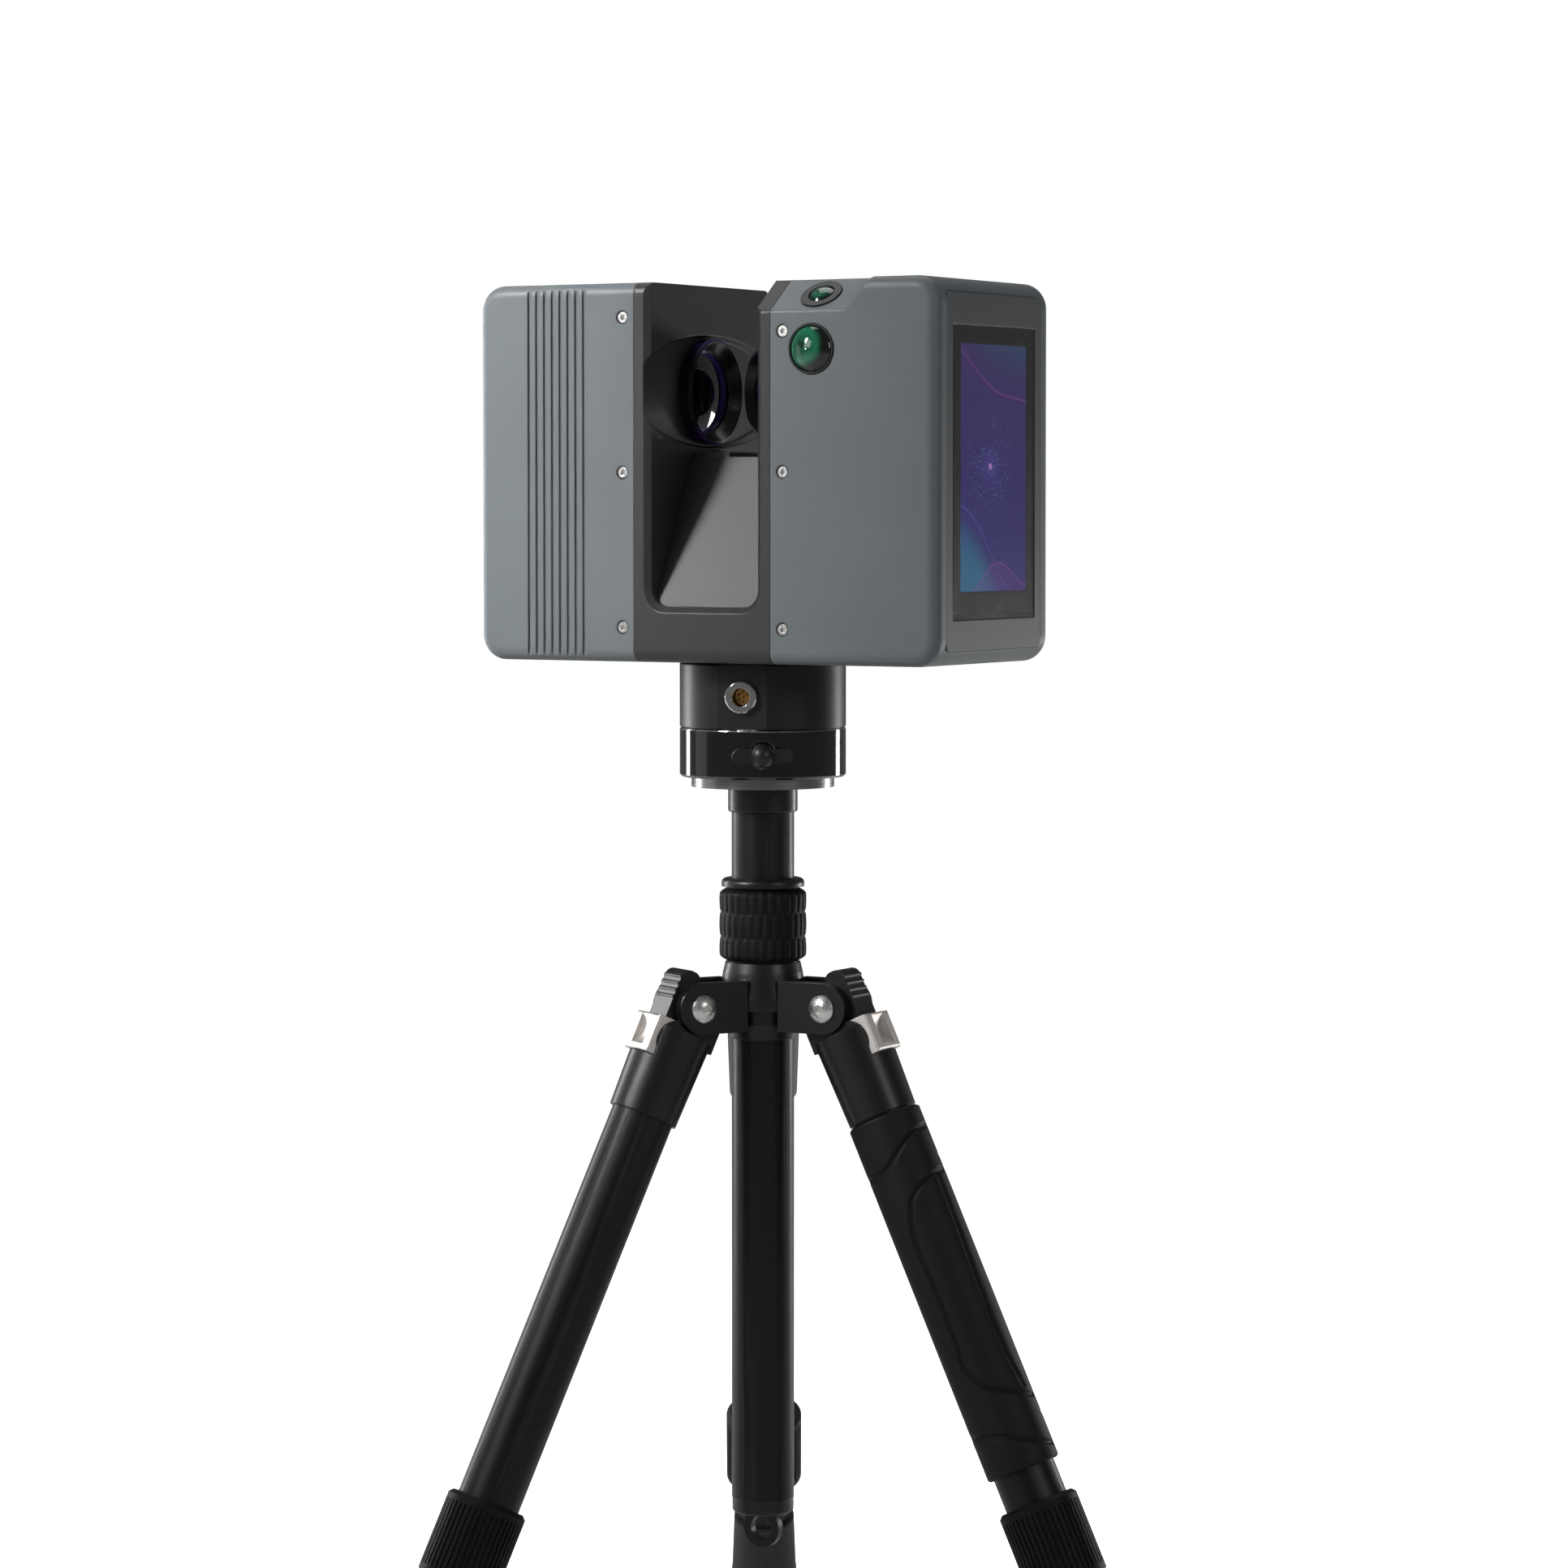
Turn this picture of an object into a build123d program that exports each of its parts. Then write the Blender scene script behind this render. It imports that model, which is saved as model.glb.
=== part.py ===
"""Terrestrial laser scanner on its carbon tripod: an assembly of separate pieces.

Frame: millimetres, +Z up, origin on the scanner's vertical axis at floor level.
The scanner's front faces -Y and its screen is on the +X end.
"""

from build123d import *
import os
from math import cos, hypot, radians, sin, sqrt

os.makedirs("parts", exist_ok=True)

# ------------------------------------------------------------------ driving dimensions
# Head
head_width = 266.0
head_depth = 122.0
head_height = 191.0
corner_radius = 13.0        # the four corners of the front outline
edge_radius = 6.0           # front and back rims of the covers
cover_wall = 3.0
frame_width = 79.0          # the dark centre frame between the two covers
seam = 0.2                  # gap between a cover and the frame
slot_width = 62.0
slot_floor = 28.0           # height of the slot's floor above the head's underside
slot_corner = 9.0
slot_bevel = 3.0

# Camera notch at the front top of the right side
notch_drop = 16.0           # how far the front edge is lowered
notch_run = 21.0            # how far back the slope reaches
notch_flat_x = 80.0         # where the lowered edge starts to climb
notch_climb = 15.0
notch_round = 2.2           # rounded nose along the notch's front edges

# Grip grooves of the left cover
groove_count = 8
groove_pitch = 4.7
groove_width = 2.2
groove_depth = 0.9
groove_first_x = -102.0

# Cover screws
screw_x = 46.5
screw_inset = 17.5
screw_head_radius = 2.75
screw_head_height = 3.0
screw_shank_radius = 1.5
screw_length = 14.0
screw_socket = 1.4
recess_radius = 3.4
recess_depth = 3.5
boss_radius = 5.2
boss_depth = 6.0
lug_depth = 10.0
lug_reach = 3.6             # lug's end beyond its screw's axis

# Mirror and laser optics
mirror_height = 137.0       # mirror axis above the head's underside
drum_diameter = 44.2
drum_gap = 0.6
mirror_thickness = 2.5
mirror_reach = 24.1         # how far left of the vertical axis the mirror's tip comes
shaft_diameter = 12.0
bearing_diameter = 24.0
bearing_width = 6.0
bearing_span = 22.0
motor_diameter = 44.0
motor_length = 18.0
rotor_diameter = 30.0
encoder_diameter = 38.0
relief_half_length = 74.0   # elliptical relief in the frame's left wall
relief_half_height = 29.0
relief_depth = 3.0
ring_diameter = 54.0
ring_proud = 4.0
lens_diameter = 41.0
lens_thickness = 5.0
lens_crown = 3.0
laser_diameter = 46.0
laser_length = 70.0

# Pedestal under the mirror
pedestal_foot_half = 56.0
pedestal_ridge_half = 17.9
pedestal_height = 103.6     # ridge above the head's underside
ridge_step = 2.5
ridge_step_right = -9.0
pedestal_wall = 2.5

# Cameras
camera_x = 63.0
front_camera_height = 156.0
front_camera_radius = 12.6
front_lens_radius = 11.4
front_lens_crown = 5.5
top_camera_radius = 10.6
top_lens_radius = 6.6
top_lens_crown = 2.6
camera_depth = 14.0

# Screen
bezel_width = 101.0
bezel_bottom = 7.3
bezel_height = 176.2
bezel_thickness = 6.0
bezel_corner = 3.0
glass_width = 88.0
glass_height = 145.0
glass_bottom = 22.6
glass_thickness = 1.2
display_width = 70.0
display_height = 122.0
display_thickness = 2.0
display_bottom = 36.5
fit_gap = 0.15

# Power button
button_x = 86.0
button_diameter = 7.0
button_proud = 1.6
button_clearance = 0.3

# Electronics and battery
board_size = (1.6, 96.0, 150.0)
board_x = 108.0
board_bottom = 20.0
chip_sizes = ((26.0, 26.0), (18.0, 14.0), (12.0, 20.0))
chip_height = 3.0
chip_step = 29.0
battery_size = (70.0, 46.0, 92.0)
battery_gap = 8.0
battery_clear = 5.0         # battery to the cover's end wall and floor

# Base, adapter and column head
base_diameter = 85.0
base_height = 32.6
base_wall = 4.0
base_roof = 9.0
pan_gap = 1.0
facet_width = 26.0
facet_angle = -75.0         # direction of the flat facet, from +X
socket_drop = 16.4          # socket axis below the base's top
socket_nut_diameter = 16.5
socket_nut_proud = 2.8
socket_body_diameter = 12.0
socket_bore_diameter = 9.4
socket_depth = 12.0
socket_bore_depth = 5.4
insert_diameter = 8.9
insert_length = 5.0
contact_radius = 0.55
contact_circle = 2.7
contact_count = 7
contact_depth = 2.5
spindle_diameter = 24.0
spindle_flange_diameter = 64.0
spindle_flange = 5.0
pan_bearing_diameter = 42.0
pan_bearing_width = 7.0
pan_rotor_diameter = 38.0
pan_stator_diameter = 56.0
pan_motor_height = 15.0
running = 0.04              # radial clearance of shafts in their bearings
adapter_diameter = 85.0
adapter_height = 25.6
adapter_edge = 1.2
plate_diameter = 73.0
plate_height = 5.2
stud_diameter = 9.5
stud_length = 20.0
knob_angle = -60.0
knob_stem_diameter = 6.0
knob_ball_diameter = 12.0
knob_span = 31.0
knob_wing_height = 7.0
knob_wing_thickness = 5.0
knob_standoff = 3.0
knob_tilt = 5.0
knob_drop = 12.8            # knob axis below the adapter's top

# Centre column, twist lock and crown; a wall is a thickness outside what it holds
column_diameter = 32.0
column_wall = 2.0
collar_lip = 1.8            # the collar stands out over the tube
collar_height = 13.0
column_length = 353.0
column_show = 34.0          # bare tube between the collar and the twist lock
spigot_length = 15.0
hook_cap_height = 8.0
hook_eye_radius = 6.0
hook_wire_radius = 2.2
lock_height = 42.6
lock_wall = 4.05
lock_rib_count = 44
lock_rib_depth = 0.8
lock_rib_groove = 1.2
lock_rib_end = 5.0          # smooth band at each end of the ribs
lock_ring_height = 4.2
lock_ring_lip = 2.9
lock_ring_round = 2.4
lock_sleeve_wall = 2.3
lock_clearance = 0.06
lock_gap = 0.4
crown_rise = 21.0           # crown top above the hinge axes
crown_drop = 18.0           # crown bottom below the hinge axes
crown_wall = 6.25
crown_neck_wall = 3.25
crown_waist_wall = 2.6
bush_wall = 1.0
hinge_reach = 20.75         # hinge axis outside the crown's body
ear_radius = 13.0
ear_thickness = 6.0
tongue_width = 17.6
tongue_clearance = 0.2
bolt_diameter = 7.0
bolt_head_diameter = 14.0
bolt_head_rim = 1.0
bolt_head_crown = 3.0
bolt_socket = 2.6
bolt_socket_depth = 2.2
bolt_clearance = 0.06

# Legs
leg_angles = (0.0, 120.0, 240.0)
leg_splay = 25.0
leg_offset = 1.8            # tube axis outside the hinge axis
leg_tube_diameter = 32.0
leg_tube_wall = 2.2
leg_tube_start = 32.0
leg_tube_end = 275.4
sleeve_start = 15.0
sleeve_end = 60.4
sleeve_top_wall = 3.0
sleeve_end_wall = 1.75
tongue_radius = 11.5
tongue_top = 3.0            # top of the tongue's inner shoulder below the hinge axis
arm_inner = 4.0             # the ratchet arm's faces outside the hinge axis
arm_outer = 15.5
arm_top = 16.0              # how far the arm stands above the hinge axis
arm_round = 5.0
rib_count = 4
rib_pitch = 3.6
rib_radius = 0.9
tab_boss_radius = 11.0
tab_boss_width = 25.0
tab_start = 11.0
tab_length = 20.0
tab_width = 24.0
tab_thickness = 4.8
tab_cheek = 7.0             # how far the tab's cheeks reach down the arm's sides
tab_seat = 0.3
tab_tongue_width = 12.0
tab_tongue_length = 8.0
tab_tongue_reach = 4.0
tab_scoop_radius = 14.0
tab_scoop_depth = 2.4
tab_round = 1.5
leg_lock_start = 267.4
leg_lock_length = 44.0
leg_lock_wall = 4.5
lower_tube_wall = 1.75
slide_gap = 0.05            # radial clearance between the two tubes of a leg
lower_tube_start = 55.4
lower_tube_end = 365.4
foot_start = 337.4
foot_wall = 4.25
foot_reach = 374.4          # hinge axis to the centre of the foot's ball
foot_flat_height = 15.0     # ball centre above the floor
grip_start = 61.4
grip_end = 250.4
grip_wall = 3.0
grip_leg = 1

# ------------------------------------------------------------------ heights worked out
hinge_z = foot_flat_height + foot_reach * cos(radians(leg_splay)) - leg_offset * sin(radians(leg_splay))
crown_top = hinge_z + crown_rise
crown_bottom = hinge_z - crown_drop
lock_bottom = crown_top + lock_gap
lock_top = lock_bottom + lock_height
collar_bottom = lock_top + column_show
collar_top = collar_bottom + collar_height
plate_top = collar_top + plate_height
adapter_top = plate_top + adapter_height
base_top = adapter_top + base_height
head_z = base_top + pan_gap
head_top = head_z + head_height
mirror_z = head_z + mirror_height
half_width = head_width / 2
half_depth = head_depth / 2
frame_half = frame_width / 2
slot_half = slot_width / 2
notch_z = head_top - notch_drop
notch_length = hypot(notch_run, notch_drop)
notch_normal = (0, -notch_drop / notch_length, notch_run / notch_length)

# ------------------------------------------------------------------ diameters worked out
column_bore = column_diameter - 2 * column_wall
column_way = column_diameter + 2 * running
collar_diameter = column_diameter + 2 * collar_lip
lock_sleeve_diameter = column_diameter + 2 * lock_sleeve_wall
lock_ring_diameter = lock_sleeve_diameter + 2 * lock_ring_lip
lock_diameter = lock_sleeve_diameter + 2 * lock_wall
crown_diameter = column_diameter + 2 * crown_wall
crown_neck_diameter = column_diameter + 2 * crown_neck_wall
crown_waist_diameter = column_diameter + 2 * crown_waist_wall
bush_diameter = column_diameter + 2 * bush_wall
hinge_radius = crown_diameter / 2 + hinge_reach
leg_tube_bore = leg_tube_diameter - 2 * leg_tube_wall
sleeve_top_diameter = leg_tube_diameter + 2 * sleeve_top_wall
sleeve_end_diameter = leg_tube_diameter + 2 * sleeve_end_wall
sleeve_inner = leg_offset - sleeve_top_diameter / 2
tab_middle = tab_start + tab_length / 2
tab_floor = arm_outer + tab_seat
tab_top = tab_floor + tab_thickness
leg_lock_diameter = leg_tube_diameter + 2 * leg_lock_wall
lower_tube_diameter = leg_tube_bore - 2 * slide_gap
lower_tube_bore = lower_tube_diameter - 2 * lower_tube_wall
foot_radius = lower_tube_diameter / 2 + foot_wall
grip_diameter = leg_tube_diameter + 2 * grip_wall


low_side = (Align.CENTER, Align.CENTER, Align.MIN)
deep_side = (Align.CENTER, Align.CENTER, Align.MAX)


def finish(piece, name):
    """Labels one finished sub-part and writes it."""
    piece.part.label = name
    export_step(piece.part, f"parts/{name}.step")


def ring(bottom, top, outer, bore=0.0):
    """A round plate, tube or ring about the vertical axis, from its diameters."""
    with BuildPart() as piece:
        with BuildSketch(Plane.XY.offset(bottom)):
            Circle(outer / 2)
            if bore:
                Circle(bore / 2, mode=Mode.SUBTRACT)
        extrude(amount=top - bottom)
    return piece


def mirror_plane(x):
    """The plane across the mirror's axis at x, facing +X."""
    return Plane(origin=(x, 0, mirror_z), x_dir=(0, 1, 0), z_dir=(1, 0, 0))


def mirror_ring(left, right, outer, bore=0.0):
    """A round plate, tube or ring about the mirror's axis, from x = left to x = right."""
    with BuildPart() as piece:
        with BuildSketch(mirror_plane(left)):
            Circle(outer / 2)
            if bore:
                Circle(bore / 2, mode=Mode.SUBTRACT)
        extrude(amount=right - left)
    return piece


def dome(seat, radius, depth, crown):
    """A lens: a round plug of one radius, with a spherical cap above its seat plane."""
    ball = (radius**2 + crown**2) / (2 * crown)
    with BuildPart() as piece:
        with Locations(seat.offset(crown - ball)):
            Sphere(ball)
        with Locations(seat.offset(-depth)):
            Cylinder(radius, depth + crown, align=low_side, mode=Mode.INTERSECT)
    return piece


# ------------------------------------------------------------------ camera notch
def notch_space(grow=0.0):
    """The wedge taken out at the front top of the right side, grown inwards by a wall."""
    run = (notch_run / notch_length, notch_drop / notch_length)
    shift = (-grow * notch_normal[1], -grow * notch_normal[2])
    low = (-half_depth + shift[0] - 40 * run[0], notch_z + shift[1] - 40 * run[1])
    high = (-half_depth + shift[0] + 60 * run[0], notch_z + shift[1] + 60 * run[1])
    climb_x = notch_flat_x + grow
    bottom = notch_z - 3 * grow - 1
    lean = notch_climb / notch_drop
    with BuildPart() as wedge:
        with BuildSketch(Plane.YZ):
            with BuildLine():
                Polyline(low, high, (low[0], high[1]), close=True)
            make_face()
        extrude(amount=half_width)
        with BuildSketch(Plane.XZ):
            with BuildLine():
                Polyline(
                    (slot_half - 2, bottom),
                    (climb_x + (bottom - notch_z) * lean, bottom),
                    (climb_x + (notch_drop + 30) * lean, notch_z + notch_drop + 30),
                    (slot_half - 2, notch_z + notch_drop + 30),
                    close=True,
                )
            make_face()
        extrude(amount=head_depth, both=True, mode=Mode.INTERSECT)
    return wedge.part


def notch_nose(edge):
    """True for the notch's edges in the front face: the lowered one and the climbing one."""
    centre = edge.center()
    off_climb = abs((centre.X - notch_flat_x) * notch_drop - (centre.Z - notch_z) * notch_climb)
    lowered = abs(centre.Z - notch_z) < 0.5 and centre.X > slot_half
    climbing = off_climb < notch_climb / 2 and centre.Z < head_top - notch_drop / 4
    return abs(centre.Y + half_depth) < 0.5 and (lowered or climbing)


def screw_places():
    """Outward planes on the front and back faces, one for each cover screw."""
    upper = {-1: head_height - screw_inset, 1: head_height - notch_drop - 10.0}
    places = []
    for face in (-1, 1):
        for side in (-1, 1):
            for height in (screw_inset, head_height / 2, upper[side]):
                origin = (side * screw_x, face * half_depth, head_z + height)
                places.append(Plane(origin=origin, x_dir=(-face, 0, 0), z_dir=(0, face, 0)))
    return places


# ------------------------------------------------------------------ centre frame
boss_end = frame_half + bearing_span
lug_width = screw_x + lug_reach - frame_half + 1
with BuildPart() as centre_frame:
    with BuildSketch(Plane.XZ):
        with Locations((0, head_z + head_height / 2)):
            Rectangle(frame_width, head_height)
    extrude(amount=half_depth, both=True)
    # the slot, open at the top, with a bevelled lip on the front and the back
    with BuildSketch(Plane.XZ) as slot_face:
        with Locations((0, head_z + slot_floor + head_height / 2)):
            Rectangle(slot_width, head_height)
        fillet(slot_face.vertices().group_by(Axis.Y)[0], slot_corner)
    extrude(amount=half_depth, both=True, mode=Mode.SUBTRACT)
    lip = centre_frame.edges().filter_by(
        lambda e: abs(abs(e.center().Y) - half_depth) < 0.01
        and abs(e.center().X) < slot_half + 0.01
        and e.center().Z > head_z + 1
    )
    chamfer(lip, slot_bevel)
    rims = centre_frame.edges().filter_by(Axis.X).filter_by(
        lambda e: abs(abs(e.center().Y) - half_depth) < 0.01
        and (e.center().Z < head_z + 1 or e.center().Z > head_top - 1)
    )
    fillet(rims, edge_radius)
    # the bearing boss on the outside of the right wall
    with BuildSketch(mirror_plane(frame_half)):
        Circle(bearing_diameter / 2 + 4)
    extrude(amount=bearing_span)
    # lugs behind the cover screws
    for place in screw_places():
        side = 1 if place.origin.X > 0 else -1
        inward = -place.z_dir.Y * (boss_depth + seam + lug_depth / 2)
        lug_x = side * (frame_half - 1 + lug_width / 2)
        with Locations((lug_x, place.origin.Y + inward, place.origin.Z)):
            Box(lug_width, lug_depth, 2 * boss_radius)
    add(notch_space(), mode=Mode.SUBTRACT)
    fillet(centre_frame.edges().filter_by(notch_nose), notch_round)
    # lens bore, bearing bore and the elliptical relief in the left wall
    with BuildSketch(mirror_plane(-frame_half - 1)):
        Circle(lens_diameter / 2)
    extrude(amount=frame_half - slot_half + 2, mode=Mode.SUBTRACT)
    with BuildSketch(mirror_plane(slot_half - 1)):
        Circle(bearing_diameter / 2)
    extrude(amount=bearing_span + frame_half - slot_half + 2, mode=Mode.SUBTRACT)
    with BuildSketch(mirror_plane(-slot_half)):
        Ellipse(relief_half_length, relief_half_height)
    with BuildSketch(mirror_plane(-slot_half - relief_depth)):
        Ellipse(relief_half_length - 2 * relief_depth, relief_half_height - relief_depth / 2)
    loft(mode=Mode.SUBTRACT)
    # seat of the pan spindle's flange in the underside, and its bolt-through hole
    with BuildSketch(Plane.XY.offset(head_z)):
        Circle(spindle_flange_diameter / 2)
    extrude(amount=spindle_flange, mode=Mode.SUBTRACT)
    with Locations([place.offset(-boss_depth) for place in screw_places()]):
        Cylinder(screw_shank_radius + 0.05, lug_depth + 2, align=deep_side, mode=Mode.SUBTRACT)
finish(centre_frame, "centre_frame")


# ------------------------------------------------------------------ covers
def cover_block(side, inset):
    """One side module's outer block, or with an inset, the space inside its wall."""
    near = frame_half + seam
    far = half_width - inset
    start = near if inset == 0 else near - 5
    height = head_height - 2 * inset
    with BuildPart() as block:
        with BuildSketch(Plane.XZ) as outline:
            with Locations((side * (start + far) / 2, head_z + head_height / 2)):
                Rectangle(far - start, height)
            corners = outline.vertices().group_by(Axis.X)[-1 if side > 0 else 0]
            fillet(corners, corner_radius - inset)
        extrude(amount=half_depth - inset, both=True)
        rim = block.edges().filter_by(
            lambda e: abs(abs(e.center().Y) - (half_depth - inset)) < 0.01
            and abs(abs(e.center().X) - start) > 0.01
        )
        fillet(rim, edge_radius - inset if inset else edge_radius)
    return block.part


screw_planes = screw_places()
left_planes = [place for place in screw_planes if place.origin.X < 0]
right_planes = [place for place in screw_planes if place.origin.X > 0]

with BuildPart() as left_cover:
    add(cover_block(-1, 0.0))
    add(cover_block(-1, cover_wall), mode=Mode.SUBTRACT)
    with Locations(left_planes):
        Cylinder(boss_radius, boss_depth, align=deep_side)
        Cylinder(recess_radius, recess_depth, align=deep_side, mode=Mode.SUBTRACT)
        Cylinder(screw_shank_radius + 0.2, boss_depth + 1, align=deep_side, mode=Mode.SUBTRACT)
    for face in (-1, 1):
        with BuildSketch(Plane(origin=(0, face * half_depth, 0), x_dir=(-face, 0, 0), z_dir=(0, face, 0))):
            for index in range(groove_count):
                groove_x = -face * (groove_first_x + index * groove_pitch)
                with Locations((groove_x, head_z + head_height / 2)):
                    Rectangle(groove_width, head_height)
        extrude(amount=-groove_depth, mode=Mode.SUBTRACT)
finish(left_cover, "left_cover")

slope_seat = Plane(
    origin=(camera_x, -half_depth + notch_run / 2, notch_z + notch_drop / 2),
    x_dir=(1, 0, 0),
    z_dir=notch_normal,
)
front_seat = Plane(
    origin=(camera_x, -half_depth, head_z + front_camera_height), x_dir=(1, 0, 0), z_dir=(0, -1, 0)
)
bezel_z = head_z + bezel_bottom + bezel_height / 2
button_seat = Plane.XY.offset(head_top)

with BuildPart() as right_cover:
    add(cover_block(1, 0.0))
    add(notch_space(), mode=Mode.SUBTRACT)
    fillet(right_cover.edges().filter_by(notch_nose), notch_round)
    cavity = cover_block(1, cover_wall) - notch_space(cover_wall)
    add(cavity, mode=Mode.SUBTRACT)
    with Locations(right_planes):
        Cylinder(boss_radius, boss_depth, align=deep_side)
        Cylinder(recess_radius, recess_depth, align=deep_side, mode=Mode.SUBTRACT)
        Cylinder(screw_shank_radius + 0.2, boss_depth + 1, align=deep_side, mode=Mode.SUBTRACT)
    with BuildSketch(Plane.YZ.offset(half_width - bezel_thickness - 4)):
        with Locations((0, bezel_z)):
            RectangleRounded(bezel_width, bezel_height, bezel_corner)
    extrude(amount=bezel_thickness + 5, mode=Mode.SUBTRACT)
    with Locations(front_seat):
        Cylinder(front_camera_radius, camera_depth, align=deep_side, mode=Mode.SUBTRACT)
    with Locations(slope_seat):
        Cylinder(top_camera_radius, camera_depth, align=deep_side, mode=Mode.SUBTRACT)
    with Locations(button_seat):
        with Locations((button_x, 0)):
            Cylinder(button_diameter / 2 + button_clearance, 12, align=deep_side, mode=Mode.SUBTRACT)
finish(right_cover, "right_cover")

with BuildPart() as screw:
    Cylinder(screw_head_radius, screw_head_height, align=low_side)
    Cylinder(screw_shank_radius, screw_length, align=deep_side)
    with BuildSketch(Plane.XY.offset(screw_head_height)):
        RegularPolygon(screw_socket, 6)
    extrude(amount=-screw_head_height / 2, mode=Mode.SUBTRACT)
with BuildPart() as cover_screws:
    with Locations([place.offset(-recess_depth) for place in screw_planes]):
        add(screw.part)
finish(cover_screws, "cover_screws")


# ------------------------------------------------------------------ cameras
def camera_barrel(seat, outer, bore):
    """A black camera barrel let into its face, with a low rim and a blind front bore."""
    with BuildPart() as barrel:
        with Locations(seat.offset(0.8)):
            Cylinder(outer - fit_gap, camera_depth, align=deep_side)
            Cylinder(bore, 4.8, align=deep_side, mode=Mode.SUBTRACT)
    return barrel


with BuildPart() as camera_barrels:
    add(camera_barrel(front_seat, front_camera_radius, front_lens_radius + 0.1).part)
    add(camera_barrel(slope_seat, top_camera_radius, top_lens_radius + 0.1).part)
finish(camera_barrels, "camera_barrels")
front_camera_lens = dome(front_seat.offset(0.2), front_lens_radius, 4.0, front_lens_crown)
finish(front_camera_lens, "front_camera_lens")
top_camera_lens = dome(slope_seat.offset(0.2), top_lens_radius, 4.0, top_lens_crown)
finish(top_camera_lens, "top_camera_lens")

# ------------------------------------------------------------------ screen
glass_z = head_z + glass_bottom + glass_height / 2
display_z = head_z + display_bottom + display_height / 2
with BuildPart() as screen_bezel:
    with BuildSketch(Plane.YZ.offset(half_width - bezel_thickness)):
        with Locations((0, bezel_z)):
            RectangleRounded(bezel_width - 2 * fit_gap, bezel_height - 2 * fit_gap, bezel_corner)
    extrude(amount=bezel_thickness)
    with BuildSketch(Plane.YZ.offset(half_width)):
        with Locations((0, glass_z)):
            Rectangle(glass_width + 2 * fit_gap, glass_height + 2 * fit_gap)
    extrude(amount=-glass_thickness, mode=Mode.SUBTRACT)
    with BuildSketch(Plane.YZ.offset(half_width)):
        with Locations((0, display_z)):
            Rectangle(display_width + 2 * fit_gap, display_height + 2 * fit_gap)
    extrude(amount=-glass_thickness - display_thickness, mode=Mode.SUBTRACT)
finish(screen_bezel, "screen_bezel")

with BuildPart() as screen_glass:
    with BuildSketch(Plane.YZ.offset(half_width - glass_thickness)):
        with Locations((0, glass_z)):
            Rectangle(glass_width, glass_height)
    extrude(amount=glass_thickness)
finish(screen_glass, "screen_glass")

with BuildPart() as display_panel:
    with BuildSketch(Plane.YZ.offset(half_width - glass_thickness - display_thickness)):
        with Locations((0, display_z)):
            Rectangle(display_width, display_height)
    extrude(amount=display_thickness)
finish(display_panel, "display_panel")

# ------------------------------------------------------------------ power button
with BuildPart() as power_button:
    with BuildSketch(Plane.XY.offset(head_top - cover_wall - 2)):
        with Locations((button_x, 0)):
            Circle(button_diameter / 2)
    extrude(amount=cover_wall + 2 + button_proud)
    crest = power_button.edges().group_by(Axis.Z)[-1]
    fillet(crest, button_proud / 2)
finish(power_button, "power_button")

# ------------------------------------------------------------------ pedestal under the mirror
pedestal_half = slot_half - seam
with BuildPart() as mirror_pedestal:
    with BuildSketch(Plane.YZ):
        with BuildLine():
            Polyline(
                (-pedestal_foot_half, head_z + slot_floor),
                (pedestal_foot_half, head_z + slot_floor),
                (pedestal_ridge_half, head_z + pedestal_height),
                (-pedestal_ridge_half, head_z + pedestal_height),
                close=True,
            )
        make_face()
    extrude(amount=pedestal_half, both=True)
    # the slot's rounded bottom corners trim the pedestal's foot
    feet = mirror_pedestal.edges().filter_by(Axis.Y).group_by(Axis.Z)[0]
    fillet(feet, slot_corner)
    with BuildSketch(Plane.YZ):
        with BuildLine():
            Polyline(
                (-pedestal_foot_half + 10, head_z + slot_floor),
                (pedestal_foot_half - 10, head_z + slot_floor),
                (pedestal_ridge_half - pedestal_wall, head_z + pedestal_height - 4 * pedestal_wall),
                (-pedestal_ridge_half + pedestal_wall, head_z + pedestal_height - 4 * pedestal_wall),
                close=True,
            )
        make_face()
    extrude(amount=pedestal_half - slot_corner, both=True, mode=Mode.SUBTRACT)
    with Locations(((ridge_step_right - pedestal_half) / 2, 0, head_z + pedestal_height)):
        Box(ridge_step_right + pedestal_half, 2 * pedestal_ridge_half, ridge_step, align=low_side)
finish(mirror_pedestal, "mirror_pedestal")

# ------------------------------------------------------------------ rotating mirror
drum_right = slot_half - drum_gap
drum_radius = drum_diameter / 2
mirror_centre = drum_radius - mirror_reach
mirror_face = Plane(origin=(mirror_centre, 0, mirror_z), x_dir=(0, 0, 1), z_dir=(-1, -1, 0))
mirror_back = mirror_face.offset(-mirror_thickness)
shaft_inside = 8.0
shaft_end = frame_half + bearing_span + motor_length + 16
with BuildPart() as mirror_drum:
    with BuildSketch(Plane(origin=(drum_right, 0, mirror_z), x_dir=(0, -1, 0), z_dir=(-1, 0, 0))):
        Circle(drum_radius)
    extrude(amount=2 * drum_diameter)
    split(bisect_by=mirror_back, keep=Keep.BOTTOM)
    with BuildSketch(Plane(origin=(drum_right, 0, mirror_z), x_dir=(0, -1, 0), z_dir=(-1, 0, 0))):
        Circle(shaft_diameter / 2)
    extrude(amount=shaft_inside, mode=Mode.SUBTRACT)
finish(mirror_drum, "mirror_drum")

with BuildPart() as scan_mirror:
    with BuildSketch(Plane(origin=(drum_right, 0, mirror_z), x_dir=(0, -1, 0), z_dir=(-1, 0, 0))):
        Circle(drum_radius - 0.6)
    extrude(amount=2 * drum_diameter)
    split(bisect_by=mirror_face, keep=Keep.BOTTOM)
    split(bisect_by=mirror_back, keep=Keep.TOP)
finish(scan_mirror, "scan_mirror")

mirror_shaft = mirror_ring(drum_right - shaft_inside, shaft_end, shaft_diameter)
finish(mirror_shaft, "mirror_shaft")

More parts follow.
